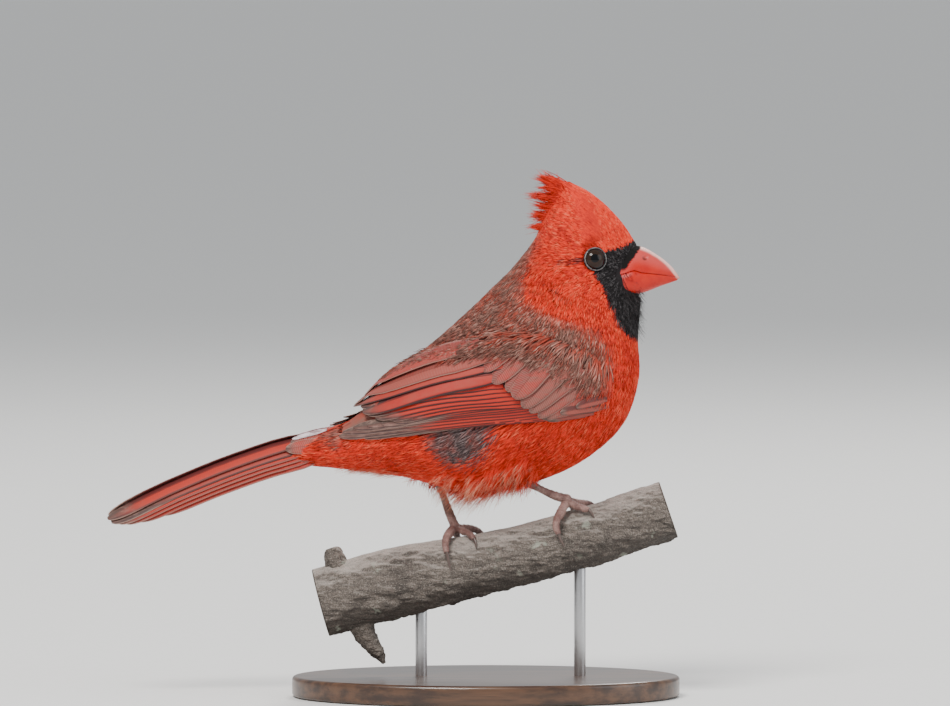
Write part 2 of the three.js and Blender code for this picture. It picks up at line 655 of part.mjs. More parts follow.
function branchSolid() {
  const steps = 20;
  const sides = 14;
  const curve = new THREE.SplineCurve(BRANCH.route.map(([x, z]) => new THREE.Vector2(x, z)));
  const rings = [];
  for (let i = 0; i <= steps; i += 1) {
    const t = i / steps;
    const place = curve.getPoint(t);
    const forward = curve.getTangent(t);
    const ring = [];
    for (let k = 0; k < sides; k += 1) {
      const a = (2 * Math.PI * k) / sides;
      const bark = Math.sin(3 * a + 9 * t) + Math.sin(5 * a - 21 * t) + Math.sin(2 * a + 40 * t);
      const top = smooth(0.4, 0.9, Math.sin(a));
      const radius = branchAt(place.x)[1] + (BRANCH.rough / 2) * bark * (1 - 0.7 * top);
      const rise = radius * Math.sin(a);
      const x = place.x - forward.y * rise;
      const z = place.y + forward.x * rise;
      ring.push(new THREE.Vector3(x, radius * Math.cos(a), z));
    }
    rings.push(ring);
  }
  return joined([stack(rings), ...STUBS.map((route) => tube(route, 5, 9))]);
}

function rod(x, grow) {
  const bottom = BASE.height - RODS.into - grow;
  const [middle, radius] = branchAt(x);
  const top = middle - radius + RODS.into + grow;
  const shaft = new THREE.CylinderGeometry(RODS.radius + grow, RODS.radius + grow, top - bottom, 16);
  return solid(shaft.rotateX(Math.PI / 2).translate(x, 0, (top + bottom) / 2));
}
const rodsAndGap = joined(RODS.x.map((x) => rod(x, GAP)));

function baseSolid() {
  const outline = new THREE.Shape();
  outline.absellipse(0, 0, BASE.length / 2 - BASE.bevel, BASE.depth / 2 - BASE.bevel, 0, 2 * Math.PI);
  const plate = new THREE.ExtrudeGeometry(outline, {
    depth: BASE.height - 2 * BASE.bevel,
    bevelThickness: BASE.bevel,
    bevelSize: BASE.bevel,
    bevelSegments: 1,
    curveSegments: 14,
  });
  return solid(plate.translate(BASE.x, 0, BASE.bevel));
}

const branch = largest(branchSolid().subtract(legsAndGap).subtract(rodsAndGap));

// Materials
function finish(color, roughness, metalness = 0) {
  return new THREE.MeshStandardMaterial({ color, roughness, metalness });
}
const MATERIALS = {
  plumage: finish("#e23a1e", 0.8),
  flight: finish("#b8604a", 0.7),
  bill: finish("#e8542e", 0.35),
  eye: finish("#14110f", 0.08),
  leg: finish("#8a6259", 0.6),
  bark: finish("#6f675f", 0.95),
  wood: finish("#4a3020", 0.45),
  steel: finish("#8f9296", 0.3, 1),
};

const NODES = [
  ["torso", torsoSolid(), MATERIALS.plumage],
  ["neck", neckCore, MATERIALS.plumage],
  ["head", headSolid(), MATERIALS.plumage],
  ["bill_upper", upperBill, MATERIALS.bill],
  ["bill_lower", lowerBill, MATERIALS.bill],
  ["eye_right", sphereAt(eyeMiddle, EYE.radius), MATERIALS.eye],
  ["eye_left", sphereAt(mirrored(eyeMiddle), EYE.radius), MATERIALS.eye],
  ["wing_right", rightWing, MATERIALS.flight],
  ["wing_left", leftWing, MATERIALS.flight],
  ["tail", tail, MATERIALS.flight],
  ["leg_right", rightLeg, MATERIALS.leg],
  ["leg_left", leftLeg, MATERIALS.leg],
  ["perch", branch, MATERIALS.bark],
  ["stand_base", baseSolid().subtract(rodsAndGap), MATERIALS.wood],
  ["stand_rod_rear", rod(RODS.x[0], 0), MATERIALS.steel],
  ["stand_rod_front", rod(RODS.x[1], 0), MATERIALS.steel],
];

const cardinal = new THREE.Group();
for (const [name, shape, material] of NODES) {
  const mesh = new THREE.Mesh(geometryOf(shape), material);
  mesh.name = name;
  cardinal.add(mesh);
}

export default cardinal;
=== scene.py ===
# %% [markdown]
# # A male northern cardinal, life size
# The bird stands on a short cut length of branch, which two steel rods hold over an oval wooden base. The packed
# solids are the fixed frame: they give the true size and outline. This script dresses them with skin, feathers,
# horn, scales, bark and wood. Sizes are worked out in millimetres and put into the scene in metres, because the
# bird's own sizes are easier to read that way. Loading the frame comes first, so that every later piece can be
# measured against it.

import math

import bmesh
import bpy
import numpy as np
from mathutils import Matrix, Vector, noise


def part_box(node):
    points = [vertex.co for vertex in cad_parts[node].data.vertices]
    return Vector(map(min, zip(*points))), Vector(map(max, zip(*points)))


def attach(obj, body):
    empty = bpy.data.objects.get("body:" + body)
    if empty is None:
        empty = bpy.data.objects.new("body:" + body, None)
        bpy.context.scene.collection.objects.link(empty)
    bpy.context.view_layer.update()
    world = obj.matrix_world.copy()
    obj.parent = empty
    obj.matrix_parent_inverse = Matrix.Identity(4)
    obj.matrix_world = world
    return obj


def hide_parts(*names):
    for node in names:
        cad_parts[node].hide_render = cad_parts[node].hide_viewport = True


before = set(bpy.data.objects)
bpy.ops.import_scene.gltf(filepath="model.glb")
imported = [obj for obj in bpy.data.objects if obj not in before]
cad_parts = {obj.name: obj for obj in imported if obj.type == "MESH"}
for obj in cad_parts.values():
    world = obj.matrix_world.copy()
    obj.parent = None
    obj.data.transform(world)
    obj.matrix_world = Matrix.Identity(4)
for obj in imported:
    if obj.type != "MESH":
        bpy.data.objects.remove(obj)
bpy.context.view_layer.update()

MM = 0.001
print("nodes:", sorted(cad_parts))

# %% [markdown]
# ## Camera
# The photograph was taken with a long lens from the bird's right side, a little above its feet. A short lens
# close by would make the near foot large and the far wing small. A long lens three metres off keeps the side
# view nearly flat, as the photograph is, so its outline can be compared with the solids. The camera looks
# slightly down, so that the top of the base shows a little.

# %% Camera
PHOTO_WIDTH = 950
SENSOR_WIDTH = 36
MM_PER_PIXEL = 0.34
AIM = Vector((-1.7, 0, 117)) * MM
DISTANCE = 3.0
LOOK_DOWN = math.radians(3)

camera_data = bpy.data.cameras.new("camera")
camera_data.sensor_width = SENSOR_WIDTH
camera_data.lens = SENSOR_WIDTH * DISTANCE / (PHOTO_WIDTH * MM_PER_PIXEL * MM)
camera_data.clip_start = 0.1
camera_data.clip_end = 100
camera = bpy.data.objects.new("camera", camera_data)
bpy.context.scene.collection.objects.link(camera)
camera.location = AIM + DISTANCE * Vector((0, -math.cos(LOOK_DOWN), math.sin(LOOK_DOWN)))
camera.rotation_euler = (math.radians(90) - LOOK_DOWN, 0, 0)
bpy.context.scene.camera = camera
print("lens", round(camera_data.lens), "mm")

# %% [markdown]
# ## Light
# The photograph has soft daylight from the front and above. A sun lamp would give hard shadows, and a picture of
# a sky would need an image. Large area lamps give the same softness: a wide one over the camera's left shoulder
# is the main light, a weaker one on the right opens the shadows, and one behind draws a thin bright edge along
# the back and the bill. The world adds an even pale light.

# %% Light
def area_lamp(name, place, size, power, colour=(1, 1, 1)):
    data = bpy.data.lights.new(name, "AREA")
    data.shape = "DISK"
    data.size = size
    data.energy = power
    data.color = colour
    lamp = bpy.data.objects.new(name, data)
    lamp.location = place
    lamp.rotation_euler = (AIM - Vector(place)).to_track_quat("-Z", "Y").to_euler()
    bpy.context.scene.collection.objects.link(lamp)


area_lamp("key", (-0.5, -1.2, 1.6), 0.8, 44, (1, 0.97, 0.93))
area_lamp("fill", (1.6, -0.6, 0.7), 1.4, 10, (0.95, 0.98, 1))
area_lamp("rim", (0.3, 1.3, 1.4), 0.7, 20, (1, 0.98, 0.95))

world = bpy.data.worlds.new("studio")
world.use_nodes = True
daylight = world.node_tree.nodes["Background"]
daylight.inputs["Color"].default_value = (0.86, 0.88, 0.9, 1)
daylight.inputs["Strength"].default_value = 0.7
bpy.context.scene.world = world
print("three lamps and a pale world")

# %% [markdown]
# ## Shader sums as Python
# A material's colours depend on sums such as "one minus this mask, times that noise". Wiring each Math node by
# hand hides the sum, and one long formula node doesn't exist. So one small class wraps a socket and lets plain
# Python signs make the Math nodes. Colours don't go through it, because a Math node turns a colour grey: they go
# through the mix method below.

# %% Shader helpers
class Value:
    def __init__(self, paint, socket):
        self.paint, self.socket = paint, socket

    def math(self, operation, *others):
        sockets = dict(enumerate([self, *others]))
        return self.paint.value("ShaderNodeMath", {"operation": operation}, sockets)

    def __add__(self, other): return self.math("ADD", other)
    def __radd__(self, other): return self.math("ADD", other)
    def __mul__(self, other): return self.math("MULTIPLY", other)
    def __rmul__(self, other): return self.math("MULTIPLY", other)
    def __sub__(self, other): return self.math("SUBTRACT", other)
    def __rsub__(self, other): return (self * -1).math("ADD", other)

    def step(self, low, high):
        settings = {"interpolation_type": "SMOOTHSTEP"}
        sockets = {"Value": self, "From Min": low, "From Max": high}
        return self.paint.value("ShaderNodeMapRange", settings, sockets, "Result")


class Paint:
    def __init__(self, name, roughness=0.6, **constants):
        self.material = bpy.data.materials.new(name)
        self.material.use_nodes = True
        self.tree = self.material.node_tree
        self.shader = self.tree.nodes["Principled BSDF"]
        self.shader.inputs["Roughness"].default_value = roughness
        for socket, amount in constants.items():
            self.shader.inputs[socket.replace("_", " ")].default_value = amount

    def put(self, socket, given):
        if isinstance(given, Value):
            self.tree.links.new(given.socket, socket)
        elif isinstance(given, tuple) and len(given) == 3 and len(socket.default_value) == 4:
            socket.default_value = (*given, 1)
        else:
            socket.default_value = given

    def node(self, kind, settings=None, sockets=None):
        made = self.tree.nodes.new(kind)
        for name, setting in (settings or {}).items():
            setattr(made, name, setting)
        for name, given in (sockets or {}).items():
            self.put(made.inputs[name], given)
        return made

    def value(self, kind, settings=None, sockets=None, output=0):
        return Value(self, self.node(kind, settings, sockets).outputs[output])

    def attribute(self, name):
        return self.value("ShaderNodeAttribute", {"attribute_name": name}, None, "Fac")

    def place(self, scale=(1, 1, 1)):
        here = self.value("ShaderNodeTexCoord", None, None, "Object")
        return self.value("ShaderNodeVectorMath", {"operation": "MULTIPLY"}, {0: here, 1: scale})

    def mirrored(self):
        """Object coordinates with the right side folded onto the left. At the head X and Z are above 0 anyway."""
        return self.value("ShaderNodeVectorMath", {"operation": "ABSOLUTE"}, {0: self.place()})

    def distance(self, vector, point):
        return self.value("ShaderNodeVectorMath", {"operation": "DISTANCE"}, {0: vector, 1: point}, "Value")

    def cracks(self, vector, scale):
        settings, sockets = {"feature": "DISTANCE_TO_EDGE"}, {"Vector": vector, "Scale": scale}
        return self.value("ShaderNodeTexVoronoi", settings, sockets, "Distance")

    def axis(self, vector, letter):
        return self.value("ShaderNodeSeparateXYZ", None, {0: vector}, letter)

    def noise(self, vector, scale, detail=3.0, roughness=0.6):
        sockets = {"Vector": vector, "Scale": scale, "Detail": detail, "Roughness": roughness}
        return self.value("ShaderNodeTexNoise", None, sockets, "Fac")

    def mix(self, factor, first, second):
        made = self.tree.nodes.new("ShaderNodeMix")
        made.data_type = "RGBA"
        for socket, given in zip((made.inputs[0], made.inputs[6], made.inputs[7]), (factor, first, second)):
            self.put(socket, given)
        return Value(self, made.outputs[2])

    def finish(self, colour, height=None, depth=0.0002, **sockets):
        self.put(self.shader.inputs["Base Color"], colour)
        if height is not None:
            bump = self.value("ShaderNodeBump", None, {"Strength": 1.0, "Distance": depth, "Height": height})
            self.put(self.shader.inputs["Normal"], bump)
        for name, given in sockets.items():
            self.put(self.shader.inputs[name.replace("_", " ")], given)
        return self.material


print("shader sums can be written with + - and *")

# %% [markdown]
# ## Floor
# The floor is the stage and no part of the model. A plane would show its corners from some sides, so it is one
# circle, too wide for its edge to be seen. A faint speckle keeps it from looking like a cut-out. It lies a hair
# under the stand, because two faces in one place would flicker.

# %% Floor
FLOOR_RADIUS = 40
FLOOR_DROP = 0.0002


def mesh_from(work, name):
    mesh = bpy.data.meshes.new(name)
    work.to_mesh(mesh)
    work.free()
    return mesh


floor_paint = Paint("pale_floor", roughness=0.75)
floor_speckle = floor_paint.noise(floor_paint.place(), 180, 2)
floor_colour = floor_paint.mix(floor_speckle, (0.78, 0.78, 0.77), (0.82, 0.82, 0.81))

circle = bmesh.new()
bmesh.ops.create_circle(circle, cap_ends=True, segments=96, radius=FLOOR_RADIUS)
floor = bpy.data.objects.new("floor", mesh_from(circle, "floor"))
floor.data.materials.append(floor_paint.finish(floor_colour))
floor.location.z = -FLOOR_DROP
bpy.context.scene.collection.objects.link(floor)
print("floor", 2 * FLOOR_RADIUS, "m across")

# %% [markdown]
# ## The shape of the body
# The body is a stack of ovals from the tail coverts to the crest. Each row gives an oval's end on the back and
# on the belly as seen from the side, its half width, how far up it is widest and how much it narrows in front.
# Sculpting would give a shape that nothing else could follow. A formula lets the skin, each feather's root and
# the way the feathers lie all come from the same surface. The rows are the ones the solids were made from.

# %% Body stations
STATIONS = np.array([
    # back x, z, belly x, z, half width, widest, narrow
    [-61.5, 87.6, -64.5, 79.4, 5.6, 0.45, 0],
    [-50.6, 91.8, -53.5, 78.4, 9, 0.45, 0],
    [-40.4, 98.2, -41.6, 77.2, 13.5, 0.45, 0],
    [-27.6, 111, -24.8, 74.8, 18.6, 0.45, 0],
    [-14.4, 121.8, -3, 69.6, 22.6, 0.46, 0.02],
    [-2.4, 132.6, 17, 72.8, 25, 0.47, 0.04],
    [4.8, 139.6, 35, 80.6, 25.6, 0.48, 0.06],
    [10.6, 145.2, 48.6, 93, 24, 0.48, 0.08],
    [14, 149.4, 53.9, 108.6, 20.4, 0.49, 0.1],
    [17, 153.2, 53.6, 121.6, 16.4, 0.5, 0.18],
    [19.4, 157.2, 54.4, 133.4, 13, 0.5, 0.42],
    [21.4, 162, 54.8, 148.8, 11, 0.5, 0.7],
    [23.6, 166, 50.2, 158.6, 9.2, 0.5, 0.55],
    [26, 169.6, 43.6, 166.4, 6.6, 0.5, 0.3],
    [27.6, 172.6, 37, 171.8, 3.6, 0.5, 0.2],
    [26.6, 175.2, 31, 174.8, 1.6, 0.5, 0],
])
LAST = len(STATIONS) - 1


def smooth(a, b, x):
    t = np.clip((x - a) / (b - a), 0, 1)
    return t * t * (3 - 2 * t)


def unit(v):
    return v / np.maximum(np.linalg.norm(v, axis=-1, keepdims=True), 1e-9)


def spline(rows, place):
    """A smooth curve through all rows. Place counts rows, so 1.5 is halfway between the second and the third."""
    rows = np.asarray(rows, float)
    i = np.clip(np.floor(place).astype(int), 0, len(rows) - 2)
    t = (place - i)[..., None]
    a, b, c, d = (rows[np.clip(i + k, 0, len(rows) - 1)] for k in (-1, 0, 1, 2))
    return 0.5 * (2 * b + (c - a) * t + (2 * a - 5 * b + 4 * c - d) * t**2 + (3 * b - a - 3 * c + d) * t**3)


def body_point(u, angle, lift=0.0):
    """A point of the surface in mm: angle 0 is the belly, a quarter turn the right side, a half turn the back."""
    row = spline(STATIONS, np.asarray(u, float))
    back, belly = row[..., 0:2], row[..., 2:4]
    half, widest, narrow = row[..., 4], row[..., 5], row[..., 6]
    height = np.linalg.norm(back - belly, axis=-1)
    up = (back - belly) / height[..., None]
    middle = belly + (back - belly) * widest[..., None]
    down = np.cos(angle)
    reach = -down * (np.where(down > 0, height * widest, height * (1 - widest)) + lift)
    side = -np.sin(angle) * (half + lift) * (1 - narrow * down)
    x, z = middle[..., 0] + up[..., 0] * reach, middle[..., 1] + up[..., 1] * reach
    return np.stack([x, side, z], -1)


def on_body(x, z):
    """The station and angle, on the right side, of places seen from the side."""
    low, high = np.zeros_like(x), np.full_like(x, LAST)
    for _ in range(40):
        u = (low + high) / 2
        row = spline(STATIONS, u)
        up = unit(row[:, 0:2] - row[:, 2:4])
        middle = row[:, 2:4] + (row[:, 0:2] - row[:, 2:4]) * row[:, 5:6]
        ahead = (x - middle[:, 0]) * up[:, 1] - (z - middle[:, 1]) * up[:, 0]
        low, high = np.where(ahead > 0, u, low), np.where(ahead > 0, high, u)
    height = np.linalg.norm(row[:, 0:2] - row[:, 2:4], axis=1)
    rise = (x - middle[:, 0]) * up[:, 0] + (z - middle[:, 1]) * up[:, 1]
    reach = np.where(rise > 0, height * (1 - row[:, 5]), height * row[:, 5])
    return u, np.arccos(np.clip(-rise / reach, -0.999, 0.999))


def surface(u, angle, lift=0.0):
    """Point, the two directions along the surface, and the way out of it."""
    e = 1e-3
    point = body_point(u, angle, lift)
    along = (body_point(u + e, angle, lift) - body_point(u - e, angle, lift)) / (2 * e)
    round_ = (body_point(u, angle + e, lift) - body_point(u, angle - e, lift)) / (2 * e)
    out = unit(np.cross(along, round_))
    inward = body_point(u, angle, -1.0) - point
    out = np.where((out * inward).sum(-1, keepdims=True) > 0, -out, out)
    return point, along, round_, out


print("body length", round(float(np.ptp(body_point(np.linspace(0, LAST, 50), 0.0)[:, 0])), 1), "mm")

# %% [markdown]
# ## Markings
# A male cardinal is orange red with a black mask round the bill, a grey brown back and a patch of bare grey down
# on the flank. Painting an image would fix the markings to one view. Here each marking is a short outline seen
# from the side, mirrored to both sides, and every point of the skin asks how deep inside it lies. A feather asks
# once, near its middle, so the edge of the mask comes out bristly, as feather tips make it. A fine line behind the
# eye and a short edge under the cheek are small outlines of their own, and count for less than the mask.

# %% Markings
MASK = [(60, 156.4), (53.4, 156.2), (52.2, 155), (49.1, 153.6), (45.4, 152.5), (43, 151.8), (40, 149.5), (38, 147),
        (37.4, 145.4), (39.5, 143.2), (41.7, 140.6), (42.6, 137.8), (43.6, 135), (45, 132.2), (46.4, 128.4),
        (48.6, 125), (51.9, 122.6), (60, 121.6)]
EYE_LINE = [(37, 149.8), (31, 149.4), (25, 148.2), (25, 147.4), (31, 148.4), (37, 148.6)]
CHEEK_EDGE = [(22.8, 142), (25.6, 138.6), (29.6, 134.6), (30, 135.4), (26.6, 139.2), (24, 142.4)]
BACK = [(19.4, 161), (19.2, 153), (16.4, 147), (15, 142.6), (15.4, 136), (21, 132.4), (26.6, 130), (31.9, 128),
        (37.6, 126.1), (42.4, 121.8), (44.4, 117), (44.4, 111), (41, 106), (4, 106), (-30, 98), (-48, 86),
        (-70, 92),
        (-70, 120), (-20, 150), (10, 175)]
DOWN = [(-17, 92), (5, 93), (4, 85.6), (-2, 80), (-9, 79), (-16, 84)]


def depth_inside(outline, x, z):
    """How far inside an outline seen from the side each place lies, in mm. Outside is negative."""
    points = np.array(outline, float)
    nearest = np.full(x.shape, 1e9)
    inside = np.zeros(x.shape, bool)
    for (ax, az), (bx, bz) in zip(points, np.roll(points, -1, 0)):
        t = np.clip(((x - ax) * (bx - ax) + (z - az) * (bz - az)) / ((bx - ax) ** 2 + (bz - az) ** 2), 0, 1)
        nearest = np.minimum(nearest, np.hypot(x - ax - t * (bx - ax), z - az - t * (bz - az)))
        crosses = (az > z) != (bz > z)
        run = ax + (z - az) * (bx - ax) / (bz - az + 1e-12)
        inside ^= crosses & (x < run)
    return np.where(inside, nearest, -nearest)


def markings(points):
    """The share of mask, back and down at each point, from 0 to 1."""
    x, y, z = points[:, 0], points[:, 1], points[:, 2]
    side = np.abs(y)
    mask = smooth(-0.35, 0.35, depth_inside(MASK, x, z))
    for outline, share in ((EYE_LINE, 0.75), (CHEEK_EDGE, 0.5)):
        mask = np.maximum(mask, share * smooth(-0.5, 0.4, depth_inside(outline, x, z)))
    back = smooth(-2.4, 2.4, depth_inside(BACK, x, z)) * (0.35 + 0.65 * smooth(-62, -44, x))
    down = smooth(-1.6, 1.8, depth_inside(DOWN, x, z)) * smooth(8, 14, side)
    return {"mask": mask, "back": back * (1 - mask), "down": down * (1 - mask)}


print("outlines:", {"mask": len(MASK), "back": len(BACK), "down": len(DOWN)})


# %% [markdown]
# ## Plumage paint
# The body feathers are matte, and most of their look is colour that changes from feather to feather and from
# root to tip: red feathers are deeper at the root, and those of the back have grey brown ends over dull red. The
# paint mixes a few named colours by the markings, by each feather's own random tone and by how far along the
# feather the point is. A low specular level keeps the sheen faint. Loose feathers may end in pale wisps.

# %% Plumage paint
ORANGE_RED = (0.8, 0.0378, 0.011)
DEEP_RED = (0.4, 0.013, 0.009)
PALE_RED = (0.9, 0.2, 0.1)
MASK_BLACK = (0.012, 0.01, 0.011)
MASK_GREY = (0.12, 0.11, 0.115)
BACK_BROWN = (0.21, 0.1, 0.078)
BACK_RED = (0.36, 0.05, 0.028)
BACK_PALE = (0.48, 0.33, 0.27)
DOWN_GREY = (0.08, 0.054, 0.055)
DOWN_PALE = (0.2, 0.145, 0.143)


def plumage_paint(name, wisps=0.0):
    paint = Paint(name, roughness=0.7, Specular_IOR_Level=0.22)
    tone, reach = paint.attribute("tone"), paint.attribute("reach")
    patches = paint.noise(paint.place(), 90, 3)
    fine = paint.noise(paint.place(), 900, 3)
    blend = (tone * 0.5 + patches * 0.7 + fine * 0.35 - 0.35) + reach * 0.25
    red = paint.mix(blend.step(0.1, 0.75), DEEP_RED, ORANGE_RED)
    red = paint.mix((tone * 0.8 + reach * 0.5).step(0.9, 1.25) * 0.55, red, PALE_RED)
    back = paint.mix((patches + tone * 0.5).step(0.55, 0.95), BACK_BROWN, BACK_RED)
    back = paint.mix((reach * 0.45 + tone * 0.75 + fine * 0.2).step(0.85, 1.25) * 0.7, back, BACK_PALE)
    down = paint.mix((tone * 0.6 + fine * 0.5).step(0.45, 0.8), DOWN_GREY, DOWN_PALE)
    down = paint.mix((patches + fine * 0.3).step(0.6, 0.8) * 0.45, down, BACK_RED)
    black = paint.mix((tone * 0.8 + reach * 0.4).step(0.75, 1.25) * 0.8, MASK_BLACK, MASK_GREY)
    colour = paint.mix(paint.attribute("back"), red, back)
    colour = paint.mix(paint.attribute("down"), colour, down)
    colour = paint.mix(paint.attribute("mask"), colour, black)
    if wisps:
        colour = paint.mix(reach.step(0.35, 1.0) * wisps, colour, (0.78, 0.56, 0.36))
    return paint.finish(colour, height=fine, depth=0.00008)


plumage = plumage_paint("plumage")
print("plumage paint has", len(plumage.node_tree.nodes), "nodes")

# %% [markdown]
# ## Skin
# Under the feathers lies one skin over torso, neck and head, so that no seam shows between the three solids. It
# could be copied from them, but their cuts would come along. Instead a flat grid is wrapped: one side of the
# grid runs along the body and the other goes round it. The skin lies deeper than the solids by the depth of the
# coat, and it carries the same markings, so nothing pale shines through between feathers. The seam along the
# belly is merged first and the two open ends are closed after it, because an end isn't a loop before that.

# %% Skin
BODY_COAT, HEAD_COAT = 1.25, 0.5
SKIN_ALONG, SKIN_ROUND = 150, 96


def coat_depth(u):
    return BODY_COAT + (HEAD_COAT - BODY_COAT) * smooth(8.5, 11, u)


def flat_grid(work, along, across):
    """Adds a flat grid. Gives its vertices and their places, which run from -1 to 1."""
    verts = bmesh.ops.create_grid(work, x_segments=along, y_segments=across, size=1)["verts"]
    return verts, np.array([v.co[:] for v in verts])


def move_to(verts, points):
    for vertex, point in zip(verts, points):
        vertex.co = Vector(point) * MM


def keep_values(mesh, values):
    for name, numbers in values.items():
        mesh.attributes.new(name, "FLOAT", "POINT").data.foreach_set("value", np.asarray(numbers, np.float32))


def bake_map(mesh, uv):
    layer = mesh.uv_layers.new(name="OFBake")
    corners = np.empty(len(mesh.loops), int)
    mesh.loops.foreach_get("vertex_index", corners)
    layer.data.foreach_set("uv", np.asarray(uv, np.float32)[corners].ravel())


def add_piece(mesh, name, material, slot, *nodes):
    mesh.name = name
    mesh.materials.append(material)
    mesh.polygons.foreach_set("use_smooth", np.ones(len(mesh.polygons), bool))
    mesh.update()
    piece = bpy.data.objects.new(name, mesh)
    bpy.context.scene.collection.objects.link(piece)
    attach(piece, "root")
    if nodes:
        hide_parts(*nodes)
    return piece


def close_ends(mesh):
    """Merges the seam and caps both ends. Each cap gets a small round spot of its own in the bake map."""
    work = bmesh.new()
    work.from_mesh(mesh)
    bmesh.ops.remove_doubles(work, verts=work.verts, dist=1e-6)
    caps = bmesh.ops.holes_fill(work, edges=[edge for edge in work.edges if edge.is_boundary])["faces"]
    layer = work.loops.layers.uv["OFBake"]
    for n, cap in enumerate(caps):
        for k, loop in enumerate(cap.loops):
            turn = k / len(cap.loops) * 2 * math.pi
            loop[layer].uv = (0.005 + 0.004 * math.cos(turn), 0.25 + 0.5 * n + 0.004 * math.sin(turn))
    bmesh.ops.recalc_face_normals(work, faces=work.faces)
    work.to_mesh(mesh)
    work.free()
    print("skin closed with", len(caps), "caps")


def wrapped_skin():
    wrap = bmesh.new()
    verts, flat = flat_grid(wrap, SKIN_ALONG, SKIN_ROUND)
    u = (flat[:, 0] + 1) / 2 * LAST
    points = body_point(u, (flat[:, 1] + 1) * math.pi, -coat_depth(u))
    move_to(verts, points)
    mesh = mesh_from(wrap, "skin")
    bake_map(mesh, np.stack([u / LAST, (flat[:, 1] + 1) / 2], 1) * 0.98 + 0.01)
    keep_values(mesh, {**markings(points), "tone": np.full(len(points), 0.3), "reach": np.zeros(len(points))})
    close_ends(mesh)
    return mesh


skin = add_piece(wrapped_skin(), "skin", plumage, "plumage", "torso", "neck", "head")
print("skin has", len(skin.data.polygons), "faces")

# %% [markdown]
# ## How the feathers lie
# Feathers point away from the bill on the head, run back over the crown and down the throat, and then follow the
# body to the tail, drooping a little on the flank. Each feather is a tuft of three to five narrow strands. A
# strand walks over the surface in a few short steps, turning a little, and rises from the skin to the coat's
# full depth at its tip, so the tips lie on the outline of the solids. Particle hair would need no walking, but
# it isn't mesh and is lost when the model leaves Blender.

# %% Eye places
BILL_BASE = np.array([50.5, 0, 146.5])
EYE_SIDE = np.array([38.3, 149.2])
EYE_RADIUS, EYE_SUNK = 4.25, 2.1


def eye_frame(side):
    """An eye's middle and the way it looks. Side is 1 for the right eye and -1 for the left one."""
    u, angle = on_body(EYE_SIDE[:1], EYE_SIDE[1:])
    flip = np.array([1, side, 1])
    return body_point(u, angle, -EYE_SUNK)[0] * flip, surface(u, angle)[3][0] * flip


def round_eye(points, middle, axis):
    """The way from an eye's axis to each place, how long it is, and how far the place is from the eye."""
    offset = points - middle
    away = np.linalg.norm(offset, axis=-1)
    offset = offset - (offset @ axis)[..., None] * axis
    return offset, np.linalg.norm(offset, axis=-1), away


EYES = {"right": eye_frame(1), "left": eye_frame(-1)}
print("eyes", round(float(np.linalg.norm(EYES["right"][0] - EYES["left"][0])), 1), "mm apart")


# %% Feather lie
LID_EDGE = 4.2
FLANK_DROOP = 0.5


def laid_flat(vectors, out):
    """Each vector pressed flat on the surface and made one long."""
    return unit(vectors - (vectors * out).sum(1, keepdims=True) * out)


def feather_lie(u, point, along, out):
    head = smooth(8.2, 10.2, u)[:, None]
    lie = unit(-along) * (1 - head) + laid_flat(point - BILL_BASE, out) * head
    z = point[:, 2]
    flank = smooth(1.5, 3.5, u) * (1 - smooth(6.5, 9, u)) * smooth(60, 66, z) * (1 - smooth(98, 112, z))
    lie = lie + (flank * FLANK_DROOP)[:, None] * np.array([0, 0, -1.0])
    for middle, axis in EYES.values():
        offset, distance, away = round_eye(point, middle, axis)
        near = np.exp(-np.maximum(distance - LID_EDGE, 0) / 1.3) * (away < 9)
        lie = lie + 0.9 * near[:, None] * unit(offset)
    return laid_flat(lie, out)


def walk(u, angle, heading, length, lifts, turn):
    """Follows the surface from each root. Gives points and outward directions, one column for each lift."""
    points, outs = [], []
    go = length / (len(lifts) - 1)
    for lift in lifts:
        point, along, round_, out = surface(u, angle, lift)
        points.append(point)
        outs.append(out)
        heading = laid_flat(heading, out)
        heading = unit(heading + turn[:, None] * np.cross(out, heading))
        aa, ab, bb = (along**2).sum(1), (along * round_).sum(1), (round_**2).sum(1)
        ha, hb = (heading * along).sum(1), (heading * round_).sum(1)
        scale = aa * bb - ab**2 + 1e-9
        u = np.clip(u + np.clip((ha * bb - hb * ab) / scale, -0.6, 0.6) * go, -0.6, LAST + 0.3)
        angle = angle + np.clip((hb * aa - ha * ab) / scale, -0.5, 0.5) * go
    return np.stack(points, 1), np.stack(outs, 1)


print("feathers lie along the body from the bill to the tail")


# %% Strands
def strands(points, outs, half, thick):
    """Thin three-sided strands that end in a point. Gives corner points, faces, and how far along each corner is."""
    count, steps = points.shape[:2]
    forward = unit(np.gradient(points, axis=1))
    across = unit(np.cross(outs, forward))
    left, right = points - across * half[..., None], points + across * half[..., None]
    ridge = points + outs * thick[..., None]
    rings = np.stack([left, ridge, right], 2)[:, :-1].reshape(count, -1, 3)
    corners = np.concatenate([rings, points[:, -1:]], 1)
    per = corners.shape[1]
    quads = []
    for k in range(steps - 2):
        a = 3 * k
        for i, j in ((0, 1), (1, 2), (2, 0)):
            quads.append((a + i, a + j, a + j + 3, a + i + 3))
    a, tip = 3 * (steps - 2), per - 1
    ends = [(a, a + 1, tip), (a + 1, a + 2, tip), (a + 2, a, tip), (2, 1, 0)]
    shift = np.arange(count)[:, None, None] * per
    quads = (np.array(quads)[None] + shift).reshape(-1, 4)
    ends = (np.array(ends)[None] + shift).reshape(-1, 3)
    reach = np.concatenate([np.repeat(np.linspace(0, 1, steps)[:-1], 3), [1.0]])
    return corners.reshape(-1, 3), quads, ends, np.tile(reach, count), per


